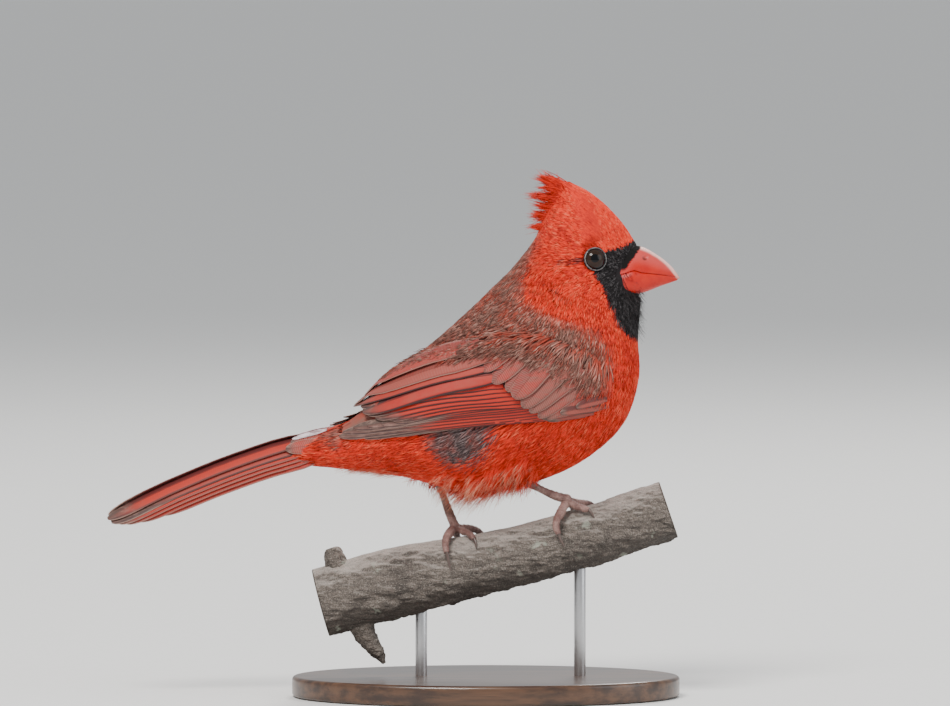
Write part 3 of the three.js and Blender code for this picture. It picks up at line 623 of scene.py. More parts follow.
def mesh_of(name, corners, quads, ends):
    mesh = bpy.data.meshes.new(name)
    mesh.vertices.add(len(corners))
    mesh.vertices.foreach_set("co", (corners * MM).astype(np.float32).ravel())
    mesh.loops.add(quads.size + ends.size)
    mesh.loops.foreach_set("vertex_index", np.concatenate([quads.ravel(), ends.ravel()]).astype(np.int32))
    starts = np.concatenate([np.arange(len(quads)) * 4, quads.size + np.arange(len(ends)) * 3])
    mesh.polygons.add(len(starts))
    mesh.polygons.foreach_set("loop_start", starts.astype(np.int32))
    mesh.update(calc_edges=True)
    return mesh


def strand_cells(homes, reach, per, size):
    """A small cell round each strand's home in the bake map, one corner of the strand after the other."""
    across = np.tile(np.arange(per) % 3 / 2 - 0.5, len(reach) // per)
    return homes + np.stack([reach - 0.5, across], 1) * size


def strand_piece(name, material, lines, outs, halves, tones, mask=0.0, shown=1.0):
    """Makes free strands one piece. Shown is the share of the root-to-tip colours that they use."""
    lines, outs, halves, tones = (np.array(part) for part in (lines, outs, halves, tones))
    corners, quads, ends, reach, per = strands(lines, outs, halves, halves * 0.6)
    mesh = mesh_of(name, corners, quads, ends)
    plain = np.zeros(len(corners))
    keep_values(mesh, {"mask": plain + mask, "back": plain, "down": plain,
                       "tone": np.repeat(tones, per), "reach": reach * shown})
    across = math.ceil(math.sqrt(len(lines)))
    cell = np.arange(len(lines))
    homes = (np.stack([cell % across, cell // across], 1) + 0.5) / across
    bake_map(mesh, strand_cells(homes[np.repeat(cell, per)], reach, per, 0.6 / across))
    add_piece(mesh, name, material, "plumage")
    print(name, len(lines), "strands,", len(quads) * 2 + len(ends), "triangles")


print("a strand is a three-sided spike")

# %% [markdown]
# ## Where the feathers grow
# Random roots leave bare spots and crowds. Here many random places are tried, space is cut into small cells, and
# only the first place in each cell keeps its feather, so the roots are even but not in rows. The cells are
# smallest on the face, where a cardinal's feathers are about 2 mm long, and largest on breast and belly. No
# feather grows on the bill, on the eye or under the folded wing, and those that reach over the wing lie on it.

# %% Feather roots
WING_LOWER = np.array([[-46, 91], [-30, 92], [-14, 92.6], [8, 93.6], [37, 97.6], [42.4, 102.4]])
WING_UPPER = np.array([[-46, 97.6], [-37, 103.4], [-30, 108], [-22, 112.2], [-12, 115.4], [4, 120.6], [20, 119.6],
                       [31, 114.4], [42.4, 108.6]])
BILL_SIDE = [(46.8, 144), (48.6, 147.4), (52, 151.4), (54.2, 153.2), (70, 150), (70, 136), (50.6, 136.6),
             (48.6, 140.2)]
WING_OVERLAP = 3.9


def under_wing(x, z):
    low = np.interp(x, WING_LOWER[:, 0], WING_LOWER[:, 1])
    high = np.interp(x, WING_UPPER[:, 0], WING_UPPER[:, 1])
    return np.minimum(z - low, high - z) * ((x > -46) & (x < 42.4)) - 99 * ((x <= -46) | (x >= 42.4))


def feather_length(point):
    from_bill = np.linalg.norm(point - BILL_BASE, axis=1)
    return 1.3 + 4.2 * smooth(4, 46, from_bill)


def feather_roots(seed, u_range, where, spacing, tries=260000):
    random = np.random.default_rng(seed)
    u = random.uniform(*u_range, tries)
    angle = random.uniform(0, 2 * math.pi, tries)
    point, along, round_, _ = surface(u, angle)
    area = np.linalg.norm(np.cross(along, round_), axis=1)
    keep = (random.uniform(0, area.max(), tries) < area * 3) & where(angle, point)
    u, angle, point = (part[keep] for part in (u, angle, point))
    _, first = np.unique(np.floor(point / spacing).astype(int), axis=0, return_index=True)
    u, angle, point = (part[first] for part in (u, angle, point))
    x, z = point[:, 0], point[:, 2]
    bare = (depth_inside(BILL_SIDE, x, z) > -0.2) | (under_wing(x, z) > 1.5 - 2 * smooth(0, -14, x))
    for middle, axis in EYES.values():
        _, distance, away = round_eye(point, middle, axis)
        bare |= (distance < 4.1) & (away < 8)
    return u[~bare], angle[~bare]


def over_wing(root, tip):
    """How far a feather that starts above the folded wing is lifted, to lie on top of it."""
    return WING_OVERLAP * smooth(-3.0, 0.6, under_wing(tip[:, 0], tip[:, 2])) * (root[:, 2] > 96)


print("wing outline", len(WING_LOWER) + len(WING_UPPER), "points")


# %% Grow the coat
LIFTS = (0.05, 0.5, 0.85, 1.0)
TAPER = (0.75, 1.0, 0.7, 0.1)


def grow_coat(name, seed, u_range, where, count, spacing, scale, spread, width):
    random = np.random.default_rng(seed + 1000)
    u, angle = feather_roots(seed, u_range, where, spacing)
    root, along, _, out = surface(u, angle)
    total = len(u)
    length = feather_length(root) * scale * random.uniform(0.8, 1.2, total)
    lie = feather_lie(u, root, along, out)
    sideways = np.cross(out, lie)
    tone = random.uniform(0, 1, total)
    depth = coat_depth(u)
    rise = depth * random.uniform(0.85, 1.25, total) + over_wing(root, root + lie * length[:, None] * 0.8)
    lifts = [-depth + rise * share for share in LIFTS]
    parts = []
    centre = (count - 1) / 2
    for n in range(count):
        fan = (n - centre) * spread / centre
        heading = unit(lie + (fan + random.normal(0, 0.09, total))[:, None] * sideways)
        turn = -fan * 0.35 + random.normal(0, 0.05, total)
        points, outs = walk(u, angle, heading, length * random.uniform(0.82, 1.1, total), lifts, turn)
        half = np.outer(width * length**0.45, TAPER) * random.uniform(0.8, 1.2, (total, 1))
        parts.append((points, outs, half, np.arange(total)))
    points, outs, half, owner = (np.concatenate(part) for part in zip(*parts))
    clear = np.ones(len(points), bool)
    for middle, axis in EYES.values():
        _, distance, away = round_eye(points, middle, axis)
        clear &= ~((distance < 3.85) & (away < 8)).any(1)
    points, outs, half, owner = (part[clear] for part in (points, outs, half, owner))
    corners, quads, ends, reach, per = strands(points, outs, half, half * 0.55)
    mesh = mesh_of(name, corners, quads, ends)
    owners = np.repeat(owner, per)
    marks = markings(root + lie * (length * 0.5)[:, None] + random.normal(0, 0.3, root.shape))
    keep_values(mesh, {key: amount[owners] for key, amount in marks.items()})
    tones = tone[owners] + np.repeat(random.normal(0, 0.22, len(points)), per)
    keep_values(mesh, {"tone": np.clip(tones, 0, 1), "reach": reach})
    low, high = u_range
    homes = np.stack([(u - low) / (high - low), (angle % (2 * math.pi)) / (2 * math.pi)], 1) * 0.98 + 0.01
    bake_map(mesh, strand_cells(homes[owners], reach, per, 0.003))
    add_piece(mesh, name, plumage, "plumage")
    print(name, total, "feathers,", len(quads) * 2 + len(ends), "triangles")


def on_face(point):
    return np.linalg.norm(point - BILL_BASE, axis=1) < 15


def below(angle):
    return np.cos(angle) >= -0.05


def right(point):
    return point[:, 1] <= 0


COATS = [
    # name, seed, stations, where by angle a and point p, strands, spacing, length, spread, width
    ("coat_face", 11, (9.4, LAST), lambda a, p: on_face(p), 3, 0.58, 1.3, 0.32, 0.13),
    ("coat_head_right", 12, (9.0, LAST), lambda a, p: ~on_face(p) & right(p), 4, 0.92, 1.4, 0.36, 0.13),
    ("coat_head_left", 17, (9.0, LAST), lambda a, p: ~on_face(p) & ~right(p), 4, 0.92, 1.4, 0.36, 0.13),
    ("coat_breast", 13, (5.4, 9.0), lambda a, p: below(a), 4, 1.42, 1.45, 0.4, 0.14),
    ("coat_back_right", 14, (2.2, 9.0), lambda a, p: ~below(a) & right(p), 5, 1.32, 1.35, 0.4, 0.13),
    ("coat_back_left", 18, (2.2, 9.0), lambda a, p: ~below(a) & ~right(p), 5, 1.32, 1.35, 0.4, 0.13),
    ("coat_belly", 15, (2.2, 5.4), lambda a, p: below(a), 4, 1.42, 1.6, 0.4, 0.13),
    ("coat_rump", 16, (0.0, 2.2), lambda a, p: True, 5, 1.3, 1.4, 0.34, 0.14),
]
for coat in COATS:
    grow_coat(*coat)

# %% [markdown]
# ## Flight feathers
# A flight feather is a flat vane on a shaft, with a narrow outer web and a wide inner one. On a cardinal the
# outer web is red and the inner web dark grey, which draws the dark lines along a folded wing, together with a
# dark band at each vane's lower edge that is partly its dark rim and partly painted shade between overlapping
# feathers. Each vane here is a small grid whose rows follow a curved line and whose width closes to a round tip;
# a Solidify modifier gives it its thickness. Fine barbs are a wave that runs slantwise from the shaft, in the
# paint and in its bump.

# %% Vane paint
VANE_RED = (0.45, 0.024, 0.011)
VANE_PINK = (0.2, 0.07, 0.056)
# Dark grey of the inner web; also the colour of the painted shade at each vane's lower edge.
DARK_WEB_AND_SHADE = (0.028, 0.015, 0.017)
TIP_BROWN = (0.095, 0.062, 0.052)
EDGE_PALE = (0.42, 0.26, 0.21)
SHAFT_DARK = (0.05, 0.02, 0.017)


def vane_paint(name):
    paint = Paint(name, roughness=0.55, Specular_IOR_Level=0.3)
    side, reach, ran = paint.attribute("side"), paint.attribute("reach"), paint.attribute("ran")
    rust, dark, grey, tone = (paint.attribute(key) for key in ("rust", "dark", "grey", "tone"))
    far = side.math("ABSOLUTE")
    soft = 1 - dark
    barbs = ((ran * 9.5 - far * 8.0).math("SINE") + 1) * 0.5
    streaks = paint.noise(paint.place((0.35, 1, 1)), 700, 3)
    patches = paint.noise(paint.place(), 120, 2)
    outer = paint.mix(rust, VANE_PINK, VANE_RED)
    outer = paint.mix((streaks * 0.8 + patches * 0.5 + tone * 0.3).step(0.7, 1.1) * 0.7, outer, DEEP_RED)
    outer = paint.mix(barbs * soft * 0.28, outer, EDGE_PALE)
    colour = paint.mix((side + streaks * 0.2).step(0.02, 0.3) * dark, outer, DARK_WEB_AND_SHADE)
    tip = (reach - (1 - grey) + streaks * 0.1 - 0.05).step(-0.1, 0.1)
    tip_colour = paint.mix((streaks + far * 0.2).step(0.5, 0.95) * 0.6, TIP_BROWN, EDGE_PALE)
    colour = paint.mix(tip * 0.92, colour, tip_colour)
    # Dark band at each vane's lower edge: partly the feather's dark rim, partly painted shade between overlapping
    # feathers.
    dark_rim_and_shade = (side * -1).step(0.76, 0.9) * (1 - tip) + (side * -1).step(0.55, 0.7) * tip * 0.8
    colour = paint.mix(dark_rim_and_shade * dark, colour, DARK_WEB_AND_SHADE)
    colour = paint.mix(far.step(0.86, 0.97) * (soft * 0.7 + tip * 0.6), colour, EDGE_PALE)
    shaft = 1 - far.step(0.02, 0.06)
    colour = paint.mix(shaft * (1 - reach.step(0.75, 0.95)) * (dark * 0.55 + 0.2), colour, SHAFT_DARK)
    return paint.finish(colour, height=barbs * soft + streaks * 0.5 + shaft * 1.2, depth=0.00009)


flight = vane_paint("flight_feathers")
print("vane paint has", len(flight.node_tree.nodes), "nodes")


# %% Vane maker
class Vanes:
    """Collects many vanes in one mesh, with what the paint needs at each corner."""
    KEYS = ("side", "reach", "ran", "rust", "dark", "grey", "tone")

    def __init__(self, columns=6, rows=16):
        self.mesh, self.columns, self.rows = bmesh.new(), columns, rows
        self.values, self.cells = {key: [] for key in self.KEYS}, []

    def add(self, line, outs, half, look, camber=0.12, tilt=0.0, blunt=0.2, flip=1):
        made, flat = flat_grid(self.mesh, self.columns, self.rows)
        side, along = flat[:, 0], np.sin((flat[:, 1] + 1) / 2 * math.pi / 2)
        stops = np.linspace(0, 1, len(line))
        middle, out, forward = (np.stack([np.interp(along, stops, rows[:, k]) for k in range(3)], 1)
                                for rows in (line, outs, np.gradient(line, axis=0)))
        out = unit(out)
        across = unit(np.cross(out, unit(forward))) * flip
        width = half * (0.5 + 0.5 * smooth(0, 0.3, along))
        width = width * np.sqrt(np.clip(1 - (np.clip(along - (1 - blunt), 0, None) / blunt) ** 2, 0.02, 1))
        points = middle + across * (side * width)[:, None]
        move_to(made, points + out * ((tilt * side - camber * side**2) * width)[:, None])
        if flip < 0:
            bmesh.ops.reverse_faces(self.mesh, faces=list({f for v in made for f in v.link_faces}))
        length = np.linalg.norm(np.diff(line, axis=0), axis=1).sum()
        rust, dark, grey, tone = look
        for key, amount in zip(self.KEYS, (side, along, along * length, rust, dark, grey, tone)):
            self.values[key].append(np.broadcast_to(amount, side.shape))
        self.cells.append(np.stack([side, along * 2 - 1], 1))

    def piece(self, name, slot, *nodes, thick=0.22, material=None, mirror=False):
        if mirror:
            bmesh.ops.scale(self.mesh, vec=(1, -1, 1), verts=self.mesh.verts)
            bmesh.ops.reverse_faces(self.mesh, faces=self.mesh.faces)
        mesh = mesh_from(self.mesh, name)
        keep_values(mesh, {key: np.concatenate(parts) for key, parts in self.values.items()})
        across = math.ceil(math.sqrt(len(self.cells) * 2))
        down = math.ceil(len(self.cells) / across)
        uv = [(cell * 0.46 + 0.5 + (n % across, n // across)) / (across, down) for n, cell in enumerate(self.cells)]
        bake_map(mesh, np.concatenate(uv))
        piece = add_piece(mesh, name, material or flight, slot, *nodes)
        wall = piece.modifiers.new("thickness", "SOLIDIFY")
        wall.thickness, wall.offset = thick * MM, 0
        print(name, len(self.cells), "vanes,", 2 * 2 * len(mesh.polygons), "triangles")


def mix(a, b, t):
    return np.asarray(a, float) + (np.asarray(b, float) - np.asarray(a, float)) * t


def side_line(root, tip, lifts, bow):
    """A line over the bird's side from root to tip, both [x, z], with the way out at each point."""
    t = np.linspace(0, 1, 9)
    places = np.stack([mix(root[k], tip[k], t) for k in (0, 1)], 1)
    places[:, 1] += bow * 4 * t * (1 - t)
    u, angle = on_body(places[:, 0], places[:, 1])
    point, _, _, out = surface(u, angle, mix(*lifts, smooth(0, 0.5, t)))
    return point, out


print("a vane has", Vanes().columns * Vanes().rows, "cells")

# %% [markdown]
# ## Wings
# The folded wing is a stack of tiers. The primaries lie lowest and end furthest back, the secondaries cover
# their bases, four broad tertials cover those, and rounded coverts lie over every root like tiles. The tiers
# are added in that order, each a little further out from the body. The tips follow the photograph; the left
# wing is the right one mirrored, with its tip a little higher, as it shows behind the bird.

# %% Wings
# name, feathers as (root x, z, tip x, z, half width), lifts, look (rust, dark inner web, grey tip), bow, bluntness
WING_TIERS = [
    ("primaries",
     [(35.5, 97.2, -31, 90.2, 1.7), (33.8, 97.9, -40, 89.3, 1.8), (32, 98.7, -47.8, 89, 2.1),
      (30.2, 99.4, -46.8, 90, 2.1),
      (28.4, 100.2, -43, 91.4, 2.2), (26.6, 101.1, -38.4, 92.6, 2.2), (24.8, 101.9, -33.4, 93.6, 2.3),
      (23, 102.7, -29, 94.4, 2.4)],
     (0.9, 1.6), (0.95, 0.9, 0.34), 1.6, 0.1),
    ("secondaries",
     [(22, 101.4, -27.5, 95.2, 2.5), (19.2, 102.6, -31.5, 95.2, 2.6), (16.4, 103.8, -35.6, 95.4, 2.7),
      (13.6, 105.1, -38.4, 96, 2.9), (10.8, 106.3, -39.8, 96.8, 3), (8, 107.5, -40.4, 97.4, 3.2)],
     (1.7, 2.3), (1.0, 0.95, 0.14), 2.6, 0.12),
    ("lower_tertial", [(12, 111.4, -39.6, 95.8, 4.2), (8, 113.6, -43, 96.6, 3.0)], (2.7, 2.9),
                       (0.66, 0.95, 0.08), 2.6, 0.2),
    ("upper_tertials", [(6, 116.6, -42.4, 98.2, 3.9), (0, 119.6, -39.4, 101.6, 3.9)], (3.1, 3.5),
                        (0.45, 0.3, 0.06), 2.2, 0.22),
    ("primary_coverts", [(38, 98.4, 22.4, 96, 1.4), (36.2, 99.6, 20.6, 96.8, 1.6), (34.5, 101, 19.4, 98, 1.8)],
     (1.8, 2.2), (0.3, 0.75, 0.25), 0.5, 0.3),
    ("greater_coverts",
     [(8, 121.4, -3.4, 114.4, 2.8), (13, 121, 1.4, 111.2, 3.3), (18.4, 120, 4.6, 107.6, 3.8),
      (22, 119, 9.2, 105.2, 3.7),
      (39.5, 103.6, 25.5, 97.8, 2.1), (38, 106.4, 22, 97.2, 2.5), (35.5, 108.6, 19.2, 97.4, 2.9),
      (33, 111.6, 16.6, 98.8, 3.3), (29.4, 114.2, 14.2, 100.6, 3.8), (24, 117.2, 11.4, 103, 4.7)],
     (2.5, 3.4), (0.1, 0.22, 0.03), 0.9, 0.45),
    ("median_coverts",
     [(42, 107.4, 33.4, 102.4, 1.9), (41, 110, 30.6, 104.6, 2.2), (38.4, 112, 27, 107.2, 2.4),
      (34, 113.6, 22.8, 109.8, 2.6)],
     (2.9, 3.2), (0.3, 0.08, 0.0), 0.5, 0.45),
    ("alula", [(42.4, 101.8, 26.4, 99.2, 1.8), (41.8, 104, 31.4, 101.4, 1.5)],
     (3.5, 3.8), (0.3, 0.7, 0.1), 0.5, 0.35),
]
FAR_WING_SHIFT = np.array([-3.4, 2.6])


def wing(name, node, mirror):
    random = np.random.default_rng(5)
    vanes = Vanes()
    for tier, feathers, lifts, look, bow, blunt in WING_TIERS:
        for n, feather in enumerate(feathers):
            share = n / (len(feathers) - 1)
            root, tip, half = np.array(feather[:2]), np.array(feather[2:4]), feather[4]
            tip = tip + random.uniform(-0.2, 0.2, 2)
            if mirror and tier == "primaries":
                tip = tip + FAR_WING_SHIFT * smooth(0, 0.3, share)
            lift = mix(*lifts, share)
            line, outs = side_line(root, tip, (lift - 0.5, lift), bow)
            tone = random.uniform(0, 1)
            vanes.add(line, outs, half, (*look, tone), camber=0.1, tilt=-0.16, blunt=blunt, flip=-1)
    vanes.piece(name, "flight_feathers", node, mirror=mirror)


wing("wing_feathers_right", "wing_right", False)
wing("wing_feathers_left", "wing_left", True)

# %% [markdown]
# ## Tail
# Twelve long feathers lie like a low roof, the middle pair on top and each outer pair a layer lower and a little
# shorter. The two upper pairs have dark inner webs and worn buff tips, and the outer ones are redder all over.
# Short round tail coverts lie over their roots. They are vanes of the same kind, and so is a painted highlight at
# the tail's root: one narrow pale vane on each side stands in for light on the top covert.

# %% Tail
TAIL_LINE = np.array([[-48, 89.8], [-60, 88], [-72, 84.8], [-87.6, 79.2], [-103.2, 72.8], [-116.2, 66.6],
                      [-126.8, 60.8]])
TAIL_PAIRS = [
    # from the middle out: how short, how far down and aside, how far it leans, look (rust, dark inner web, grey tip)
    (0, 0.2, 2.6, 0.42, (0.9, 0.8, 0.12)),
    (1.7, 2.1, 3.6, 0.5, (0.4, 0.85, 0.26)),
    (4.6, 3.5, 4.2, 0.46, (1.0, 0.5, 0.08)),
    (8.0, 4.7, 4.5, 0.5, (1.0, 0.4, 0.05)),
    (13.2, 6.0, 4.6, 0.55, (1.0, 0.4, 0.03)),
    (21.4, 7.2, 4.5, 0.6, (1.0, 0.3, 0.0)),
]
TAIL_LENGTH = 85.0
TAIL_VANE_HALF = 3.6
LEFT_LOWER, TOP_LEVEL = 0.35, -0.7


def tail():
    random = np.random.default_rng(8)
    vanes = Vanes(columns=8, rows=20)
    stops = np.linspace(0, 1, len(TAIL_LINE))
    for pair, (short, down, aside, lean, look) in reversed(list(enumerate(TAIL_PAIRS))):
        for side in (1, -1):
            share = 1 - (short + random.uniform(0, 0.5)) / TAIL_LENGTH
            t = np.linspace(0, share, 11)
            s = t / share
            x, z = (np.interp(t, stops, TAIL_LINE[:, k]) for k in (0, 1))
            level = down + (LEFT_LOWER if side > 0 else 0)
            if pair == 0 and side > 0:
                level = TOP_LEVEL
            y = side * aside * (0.3 + 0.7 * smooth(0, 0.3, s)) * (1 - 0.25 * s)
            z = z - level * smooth(-0.1, 0.16, s)
            outs = np.tile(unit(np.array([0.3, lean * side, 1.0 - lean * 0.4])), (len(t), 1))
            vanes.add(np.stack([x, y, z], 1), outs, TAIL_VANE_HALF, (*look, random.uniform(0, 1)), camber=0.16,
                      blunt=0.16, flip=side)
    vanes.piece("tail_feathers", "flight_feathers", "tail", thick=0.3)


tail()


# %% Tail coverts
TAIL_COVERTS = [
    # root and tip as x, y, z on the bird's right side, half width, the way out, look
    ((-49, -7.6, 83.6), (-64.6, -5.0, 82.0), 2.4, (0.05, -1, 0.0), (0.8, 0, 0.1)),
    ((-48.6, -7.4, 87.0), (-66.0, -5.2, 84.6), 2.6, (0.1, -0.9, 0.4), (0.35, 0, 0.12)),
    ((-48.4, -5.4, 89.8), (-64.4, -3.8, 86.8), 2.4, (0.15, -0.6, 0.7), (0.5, 0, 0.12)),
    ((-48, -2.6, 92.0), (-62.6, -1.8, 88.4), 2.2, (0.2, -0.3, 0.9), (0.6, 0, 0.1)),
]
# Painted highlight: a narrow pale vane on each side stands in for light glinting on the top tail covert.
COVERT_HIGHLIGHT = ((-52, -4.4, 91.2), (-63.8, -3.6, 87.9), 0.8, (0.1, -0.9, 0.5), (0, 0, 0))


def straight(rows, seed, hang=0.5):
    random = np.random.default_rng(seed)
    vanes = Vanes()
    t = np.linspace(0, 1, 7)[:, None]
    for root, tip, half, out, look in rows:
        for side in (1, -1):
            flip = [1, side, 1]
            line = mix(root, tip, t) + np.array([0, 0, -hang]) * (t**2 - t)
            outs = np.tile(unit(np.array(out, float)), (len(t), 1)) * flip
            vanes.add(line * flip, outs, half, (*look, random.uniform(0, 1)), camber=0.2, blunt=0.4, flip=side)
    return vanes


straight(TAIL_COVERTS, 9).piece("tail_coverts", "plumage")
# Pale paint for the painted highlight vane at the tail's root.
highlight_paint = Paint("painted_highlight_streak", roughness=0.7)
highlight_barbs = highlight_paint.noise(highlight_paint.place((0.3, 1, 1)), 900, 3)
highlight_colour = highlight_paint.mix(highlight_barbs.step(0.35, 0.65), (0.3, 0.2, 0.21), (0.72, 0.62, 0.66))
highlight_feather = highlight_paint.finish(highlight_colour, height=highlight_barbs)
straight([COVERT_HIGHLIGHT], 10).piece("painted_highlight_streak", "plumage", material=highlight_feather)

# %% [markdown]
# ## Crest
# The crest is a sheaf of long narrow feathers that start on the forehead and crown, run back over the head and
# end free in a ragged fan. They are the longest feathers of the head, so each one is made of five fine strands of
# its own. Six sheaves share them out, from the top of the crown down its side, and within a sheaf every feather's
# root, bend and tip are drawn at random. Inside the head's outline a strand rides just over the coat, and past it the
# strand runs free to its point.

# %% Crest
CREST_SHEAVES = [
    # root [x, z] low and high, bend low and high, tip, spread of the tips, how far to the side, feathers
    ([(48.6, 156.8), (44.4, 159.2)], [(31.4, 172.9), (30, 169.8)], (18.2, 177.3), (1.6, 0.6), 1.3, 34),
    ([(47.6, 157), (42.4, 159)], [(31.4, 171.4), (29.8, 168.4)], (18.8, 173.8), (1.4, 0.7), 1.9, 22),
    ([(46, 157), (40.4, 158.4)], [(30.6, 168.6), (29.2, 166)], (15.6, 170.8), (1.6, 0.9), 2.5, 30),
    ([(44, 156.6), (38, 157)], [(30, 166), (28.4, 163.6)], (17.6, 167.6), (1.8, 1.3), 3.2, 26),
    ([(42.4, 156), (35, 155.4)], [(29, 163.6), (27, 160.8)], (16.8, 164.2), (1.6, 1.5), 3.8, 36),
    ([(38.6, 155.2), (31, 153.8)], [(27.4, 160.6), (25.4, 157.6)], (16.4, 160.2), (1.8, 0.7), 4.2, 28),
]


CREST_TAPER = np.array([0.5, 0.9, 1, 1, 1, 0.85, 0.6, 0.36, 0.05])


def bent(a, b, c, t):
    """A curve from a to c that passes b halfway."""
    return a * (1 - t) ** 2 + (4 * b - a - c) * t * (1 - t) + c * t**2


def crest(name, side):
    random = np.random.default_rng(21 if side < 0 else 22)
    lines, outs, halves, tones = [], [], [], []
    t = np.linspace(0, 1, len(CREST_TAPER))
    free = smooth(0.5, 1.0, t)
    for roots, bends, tip, spread, aside, count in CREST_SHEAVES:
        for _ in range(count):
            share, tone = random.uniform(), random.uniform(0.1, 1)
            root, bend = mix(*roots, share), mix(*bends, share)
            end = np.array(tip) + random.uniform(-1, 1, 2) * spread
            if random.uniform() < 0.55:
                end = mix(end, bend, random.uniform(0.1, 0.55))
            y_end = random.uniform(0, aside)
            for _ in range(5):
                a, b = root + random.normal(0, 0.5, 2), bend + random.normal(0, 0.5, 2)
                c = mix(end, bend, abs(random.normal(0, 0.16))) + random.normal(0, 0.4, 2) * (1.2, 0.9)
                if random.uniform() < 0.22:
                    c = c + random.normal(0, 1.5, 2) * (0.6, 1)
                x, z = (bent(a[k], b[k], c[k], t) for k in (0, 1))
                u, angle = on_body(x, z)
                point, _, _, out = surface(u, angle, 0.25 + 0.5 * t)
                off = np.hypot(point[:, 0] - x, point[:, 2] - z)
                inward = 1 - random.uniform(0, 1) * smooth(0.1, 1.4, off)
                y = np.abs(point[:, 1]) * np.exp(-off / 2.0) * inward
                y = y * (1 - free) + (y_end + random.normal(0, 0.25)) * free
                lines.append(np.stack([x, y * side, z], 1))
                sideways = np.array([0, side, 0.4]) * free[:, None]
                outs.append(unit(out * [1, -side, 1] * (1 - free[:, None]) + sideways))
                halves.append(0.19 * CREST_TAPER * random.uniform(0.8, 1.25))
                tones.append(np.clip(tone + random.normal(0, 0.3), 0, 1) * 0.8)
    strand_piece(name, plumage, lines, outs, halves, tones, shown=0.55)


crest("crest_right", -1)
crest("crest_left", 1)

# %% [markdown]
# ## Belly fringe and chin bristles
# The longest, loosest feathers hang from the belly in front of the legs and end in pale wisps. A few more hang
# under the tail's root, red tufts cover the thighs, and the chin has black bristles that stand off the throat.
# They don't lie on the body, so they don't walk over it: each starts inside the coat and curves away under its
# own weight.

# %% Loose feathers
FRINGE_TAPER = np.array([0.8, 1, 0.9, 0.7, 0.45, 0.1])


def loose(name, seed, material, u_range, angles, count, length, pull, per_feather, width, mask=0.0, bulge=0.0):
    random = np.random.default_rng(seed)
    t = np.linspace(0, 1, len(FRINGE_TAPER))
    lines, outs, halves, tones = [], [], [], []
    for _ in range(count):
        u, angle = random.uniform(*u_range), random.uniform(*angles)
        point, along, _, out = (part[0] for part in surface(np.array([u]), np.array([angle]), -0.9))
        tone = random.uniform()
        reach = random.uniform(*length) * (1 + bulge * np.exp(-(((point[0] - 3) / 7) ** 2)))
        for _ in range(per_feather):
            start = unit(-unit(along) + out * 0.35 + random.normal(0, 0.12, 3))
            end = unit(np.array(pull) + out * [0.1, 0.5, 0] + random.normal(0, 0.16, 3))
            step = unit(start * (1 - t)[:, None] + end * t[:, None])
            root = point + random.normal(0, 0.3, 3)
            lines.append(root + np.cumsum(step, 0) * reach / len(t) * random.uniform(0.75, 1.15))
            outs.append(np.tile(out, (len(t), 1)))
            halves.append(width * FRINGE_TAPER)
            tones.append(np.clip(tone + random.normal(0, 0.2), 0, 1))
    strand_piece(name, material, lines, outs, halves, tones, mask)


wispy = plumage_paint("wispy_plumage", wisps=0.75)
LOOSE = [
    # name, seed, material, stations, angles, feathers, length, pull, strands, width, mask, bulge in front of the legs
    ("belly_fringe", 31, wispy, (3.7, 5.3), (-0.8, 0.8), 420, (5, 10.5), (-0.6, 0, -1.0), 6, 0.1, 0, 0.5),
    ("vent_wisps", 32, wispy, (1.9, 3.3), (-0.55, 0.55), 90, (5, 8), (-1.0, 0, -0.28), 5, 0.12),
    ("thigh_right", 34, plumage, (4.5, 5.3), (0.2, 0.85), 90, (5, 8), (0.1, 0, -1.0), 5, 0.13),
    ("thigh_left", 35, plumage, (3.2, 4.0), (-0.85, -0.2), 90, (5, 8), (-0.1, 0, -1.0), 5, 0.13),
    ("chin_bristles", 33, plumage, (9.3, 10.9), (-0.9, 0.9), 190, (4, 7.5), (0.8, 0, -1.0), 3, 0.09, 1),
]
for tuft in LOOSE:
    loose(*tuft)

# %% [markdown]
# ## A wrapped tube
# Bill, legs, toes, claws, eyelids and branch are all closed tubes that bend and change thickness. A curve with a
# bevel would give round sections only. Here a flat grid is wrapped into a tube by a shape function, its seam is
# merged and its ends are closed, which is the way the skin was made too.

# %% Tube maker
def wrapped(shape, along, round_, into=None, closed_loop=False):
    """shape takes the shares along and round and gives points in mm. Adds to a bmesh or makes one."""
    target = into or bmesh.new()
    made, flat = flat_grid(target, along, round_)
    move_to(made, shape((flat[:, 0] + 1) / 2, (flat[:, 1] + 1) / 2))
    if not closed_loop:
        for end in (flat[:, 0].min(), flat[:, 0].max()):
            rim = [vertex for vertex, share in zip(made, flat[:, 0]) if share == end]
            bmesh.ops.contextual_create(target, geom=rim)
    faces = list({f for v in made for f in v.link_faces})
    bmesh.ops.remove_doubles(target, verts=made, dist=1e-7)
    bmesh.ops.recalc_face_normals(target, faces=[f for f in faces if f.is_valid])
    return target


def curve_at(rows, share):
    return spline(rows, np.clip(share, 0, 1) * (len(rows) - 1))


def tube_shape(route, section=lambda t, angle: 1.0, squash=1.0):
    """A tube along points of [x, y, z, radius], smooth between them."""
    def shape(t, s):
        centre, ahead, behind = (curve_at(route, t + nudge) for nudge in (0, 0.01, -0.01))
        forward = unit(ahead[:, :3] - behind[:, :3])
        top = unit(np.cross(np.cross(forward, [0.02, 0.05, 1.0]), forward))
        other = np.cross(forward, top)
        angle = s * 2 * math.pi
        radius = (centre[:, 3] * section(t, angle))[:, None]
        return centre[:, :3] + radius * (top * np.cos(angle)[:, None] + squash * other * np.sin(angle)[:, None])

    return shape


def piece_of(work, name, material, slot, *nodes):
    piece = add_piece(mesh_from(work, name), name, material, slot, *nodes)
    print(name, len(piece.data.polygons), "faces")
    return piece


print("tubes are ready to be wrapped")
